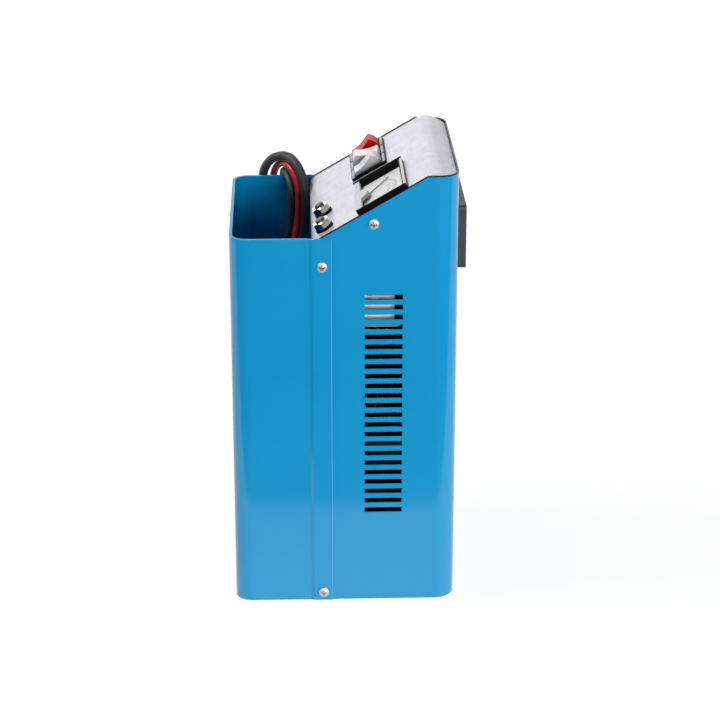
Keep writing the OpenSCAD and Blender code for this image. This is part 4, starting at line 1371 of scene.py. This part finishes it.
@dataclass
class Works(Assembly):
    """What the housing holds: the transformer, the rectifier, the breaker and the leads' glands."""

    finishes: dict[str, str] = field(
        default_factory=lambda: {
            "transformer_core": "core_steel", "transformer_winding": "winding_tape",
            "core_brackets": "zinc_sheet", "core_bolts": "zinc_screws",
            "core_foot_bolts": "zinc_screws", "rectifier_plate": "plate_aluminium", "diodes": "diode_metal",
            "breaker_bracket": "zinc_sheet", "thermal_breaker": "breaker_plastic",
            "mains_gland": "gland_rubber", "red_gland": "gland_rubber", "black_gland": "gland_rubber",
        }
    )

    def build(self) -> None:
        """Dresses the works."""
        self.dress(self.finishes.items())


@dataclass
class Harness(Assembly):
    """The wires inside the housing, from the switches' tabs down to the transformer's winding.

    Lengths are in millimetres. Each wire drops from its tab, runs down in a bundle beside the others and
    turns in towards the winding, where the wires fan out.
    """

    plane: PanelPlane
    switch_xs: tuple[float, ...] = (-70.05, -45.05, -20.05)
    tab_s: tuple[float, ...] = (43.0, 51.0, 59.0)
    tab_h: float = -31.0
    drop: float = 14.0
    diameter: float = 4.8
    pitch: float = 4.15
    first_y: float = 15.0
    bundle_x: float = -62.0
    stagger: float = 3.0
    bundle_zs: tuple[float, ...] = (252.0, 215.0, 165.0, 106.0)
    turn: tuple[float, float, float] = (-42.0, 8.0, 93.0)
    fan_x: float = -24.0
    fan_pitch: float = 4.6
    fan_y: float = 1.0
    fan_zs: tuple[float, ...] = (80.0, 66.0)
    steps: int = 5
    rounding: int = 3

    def build(self) -> None:
        """Makes the wires."""
        tabs = [(x, s) for s in self.tab_s for x in self.switch_xs]
        for rank, (x, s) in enumerate(tabs):
            self._wire(f"inner_wire_{rank + 1}", x, s, rank)

    def _wire(self, name: str, x: float, s: float, rank: int) -> None:
        """Makes one wire.

        Args:
            name: The wire's name.
            x: Its tab's place across the panel.
            s: Its tab's place up the slope.
            rank: Its place in the bundle, from the front.
        """
        tab = [self.plane.matrix(x, s, h).translation for h in (self.tab_h, self.tab_h - self.drop)]
        side = self.bundle_x + (rank % 2) * self.stagger
        bundle = [(side, self.first_y + self.pitch * rank, z) for z in self.bundle_zs]
        turn = (self.turn[0] + rank, *self.turn[1:])
        fan = [(self.fan_x + self.fan_pitch * rank, self.fan_y, z) for z in self.fan_zs]
        points = [*tab, *(Vector(p) * MM for p in (*bundle, turn, *fan))]
        curve = tube(name, points, self.diameter, self.steps, self.rounding)
        self.bench.place(name, curve, "black_cable", Body.ROOT)


@dataclass
class Terminals(Assembly):
    """The two output posts on the panel."""

    sides: tuple[str, ...] = ("left", "right")
    finishes: dict[str, str] = field(
        default_factory=lambda: {
            "bush": "black_plastic", "stud": "dark_steel", "washer": "nickel", "nut": "nickel",
        }
    )

    def build(self) -> None:
        """Dresses both posts."""
        for side in self.sides:
            self.dress((f"post_{part}_{side}", finish) for part, finish in self.finishes.items())


@dataclass
class LeadEnds(Assembly):
    """The mains plug and the two battery clamps."""

    def build(self) -> None:
        """Dresses the plug and the clamps."""
        self.dress((("plug_body", "plug_plastic"), ("plug_pins", "nickel")))
        for colour in ("red", "black"):
            self.dress((f"{colour}_clamp_{part}", f"{colour}_clamp_plastic") for part in ("fixed", "moving"))
            self.dress((f"{colour}_clamp_{part}", "clamp_steel") for part in ("pin", "spring"))


@dataclass(frozen=True)
class Softbox:
    """One soft lamp."""

    name: str
    place: tuple[float, float, float]
    size: tuple[float, float]
    power: float

    def build(self, aim: Vector) -> None:
        """Makes the lamp.

        Args:
            aim: The point that it looks at.
        """
        data = bpy.data.lights.new(self.name, "AREA")
        data.shape = "RECTANGLE"
        data.size, data.size_y = self.size
        data.energy = self.power
        lamp = bpy.data.objects.new(self.name, data)
        bpy.context.scene.collection.objects.link(lamp)
        lamp.location = self.place
        lamp.rotation_mode = "QUATERNION"
        lamp.rotation_quaternion = (aim - Vector(self.place)).to_track_quat("-Z", "Y")


@dataclass
class Studio:
    """The pale floor, the white surroundings and the lamps.

    Shiny surfaces see a dark band at the horizon, as of the room behind the lamps, and a dark floor past the
    edge of the white paper on the camera's side. Lengths are in metres.
    """

    aim: tuple[float, float, float] = (0.0, 0.0, 0.18)
    ambient: float = 0.03
    horizon: float = 0.04
    band_levels: tuple[float, float] = (0.08, 0.16)
    band_side: tuple[float, float] = (-0.5, -0.3)
    floor_size: float = 12.0
    floor_drop: float = 0.0005
    paper: Colour = (232, 232, 232)
    glow_share: float = 0.8
    glow_reach: tuple[float, float] = (0.6, 2.4)
    glow: tuple[float, float] = (1.12, 1.30)
    paper_edge: tuple[float, float] = (0.265, 0.305)
    mirrored: tuple[float, float] = (0.95, 0.03)
    lamps: tuple[Softbox, ...] = (
        Softbox("top_softbox", (0.1, -1.35, 1.85), (0.9, 0.9), 26.5),
        Softbox("side_softbox", (2.3, 0.90, 0.67), (1.1, 0.45), 42.5),
        Softbox("far_softbox", (-2.1, -0.25, 0.95), (1.4, 0.9), 6.0),
        Softbox("rear_softbox", (0.8, 2.3, 0.40), (0.9, 0.9), 13.0),
        Softbox("front_softbox", (-1.4, -2.0, 0.70), (1.2, 1.2), 9.0),
    )

    def build(self) -> None:
        """Makes the studio."""
        self._world()
        self._floor()
        for lamp in self.lamps:
            lamp.build(Vector(self.aim))
        bpy.context.scene.view_settings.view_transform = "Standard"

    def _world(self) -> None:
        """Makes the surroundings: white where they are seen, softer where they only light the charger."""
        world = bpy.data.worlds.new("studio")
        bpy.context.scene.world = world
        world.use_nodes = True
        board = NodeBoard(world.node_tree)
        board.tree.nodes.clear()
        path = board.add("LightPath")
        seen = board.math("MAXIMUM", path.outputs["Is Camera Ray"], path.outputs["Is Glossy Ray"])
        seen = board.math("MAXIMUM", seen, path.outputs["Is Transmission Ray"])
        way = board.split(board.add("TexCoord").outputs["Generated"])
        level = board.spread(board.math("ABSOLUTE", way["Z"]), *self.band_levels, 1.0, 0.0)
        band = board.math("MULTIPLY", level, board.spread(way["X"], *self.band_side))
        band = board.math("MULTIPLY", band, path.outputs["Is Glossy Ray"])
        bright = board.spread(band, 0.0, 1.0, 1.0, self.horizon)
        strength = board.math("MULTIPLY", board.spread(seen, 0.0, 1.0, self.ambient, 1.0), bright)
        background = board.add("Background", Color=(1, 1, 1, 1))
        board.join(strength, background.inputs["Strength"])
        board.join(background.outputs[0], board.add("OutputWorld").inputs["Surface"])

    def _floor(self) -> None:
        """Makes the floor, which the camera sees as white with a soft shadow."""
        bm = bmesh.new()
        bmesh.ops.create_grid(bm, x_segments=2, y_segments=2, size=self.floor_size / 2)
        mesh = MeshShop.finish("floor", bm)
        floor = bpy.data.objects.new("floor", mesh)
        bpy.context.scene.collection.objects.link(floor)
        floor.location.z = -self.floor_drop
        mesh.materials.append(self._paper())

    def _paper(self) -> bpy.types.Material:
        """Makes the floor's paper: one look for the camera, one for mirrors and one that only takes light.

        Returns:
            The material.
        """
        material = bpy.data.materials.new("floor_paper")
        material.use_nodes = True
        board = NodeBoard(material.node_tree)
        board.tree.nodes.clear()
        path = board.add("LightPath").outputs
        plain = board.add("BsdfDiffuse", Color=linear(self.paper))
        lit = board.add("BsdfDiffuse", Color=(1, 1, 1, 1))
        glow = board.add("Emission", Color=(1, 1, 1, 1))
        away = board.add("VectorMath", operation="LENGTH")
        board.join(board.place(), away.inputs[0])
        strength = board.spread(away.outputs["Value"], *self.glow_reach, *self.glow)
        board.join(strength, glow.inputs["Strength"])
        mirror = board.add("Emission", Color=(1, 1, 1, 1))
        across = board.split(board.place())["X"]
        board.join(board.spread(across, *self.paper_edge, *self.mirrored), mirror.inputs["Strength"])
        shown = self._mixed(board, self.glow_share, lit.outputs[0], glow.outputs[0])
        shown = self._mixed(board, path["Is Camera Ray"], plain.outputs[0], shown)
        shown = self._mixed(board, path["Is Glossy Ray"], shown, mirror.outputs[0])
        board.join(shown, board.add("OutputMaterial").inputs["Surface"])
        return material

    @staticmethod
    def _mixed(board: NodeBoard, share: object, *shaders: bpy.types.NodeSocket) -> bpy.types.NodeSocket:
        """Mixes two shaders.

        Args:
            board: The board to build on.
            share: How much of the second one shows, as a number or a socket.
            shaders: The two shaders' sockets.

        Returns:
            The mixed shader's socket.
        """
        node = board.add("MixShader")
        for term, end in zip((share, *shaders), node.inputs):
            board.join(term, end)
        return node.outputs[0]


def main() -> None:
    """Builds the scene in order."""
    logging.basicConfig(level=logging.INFO, format="%(name)s: %(message)s")
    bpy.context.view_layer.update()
    Camera().build()
    bench = Bench(Palette())
    plane = PanelPlane()
    for assembly in (
        LeadSet(bench), Casework(bench), Ammeter(bench, plane), Switches(bench, plane), Terminals(bench),
        Works(bench), Harness(bench, plane), LeadEnds(bench),
    ):
        log.info("dressing %s", type(assembly).__name__)
        assembly.build()
    Studio().build()


if __name__ == "__main__":
    main()
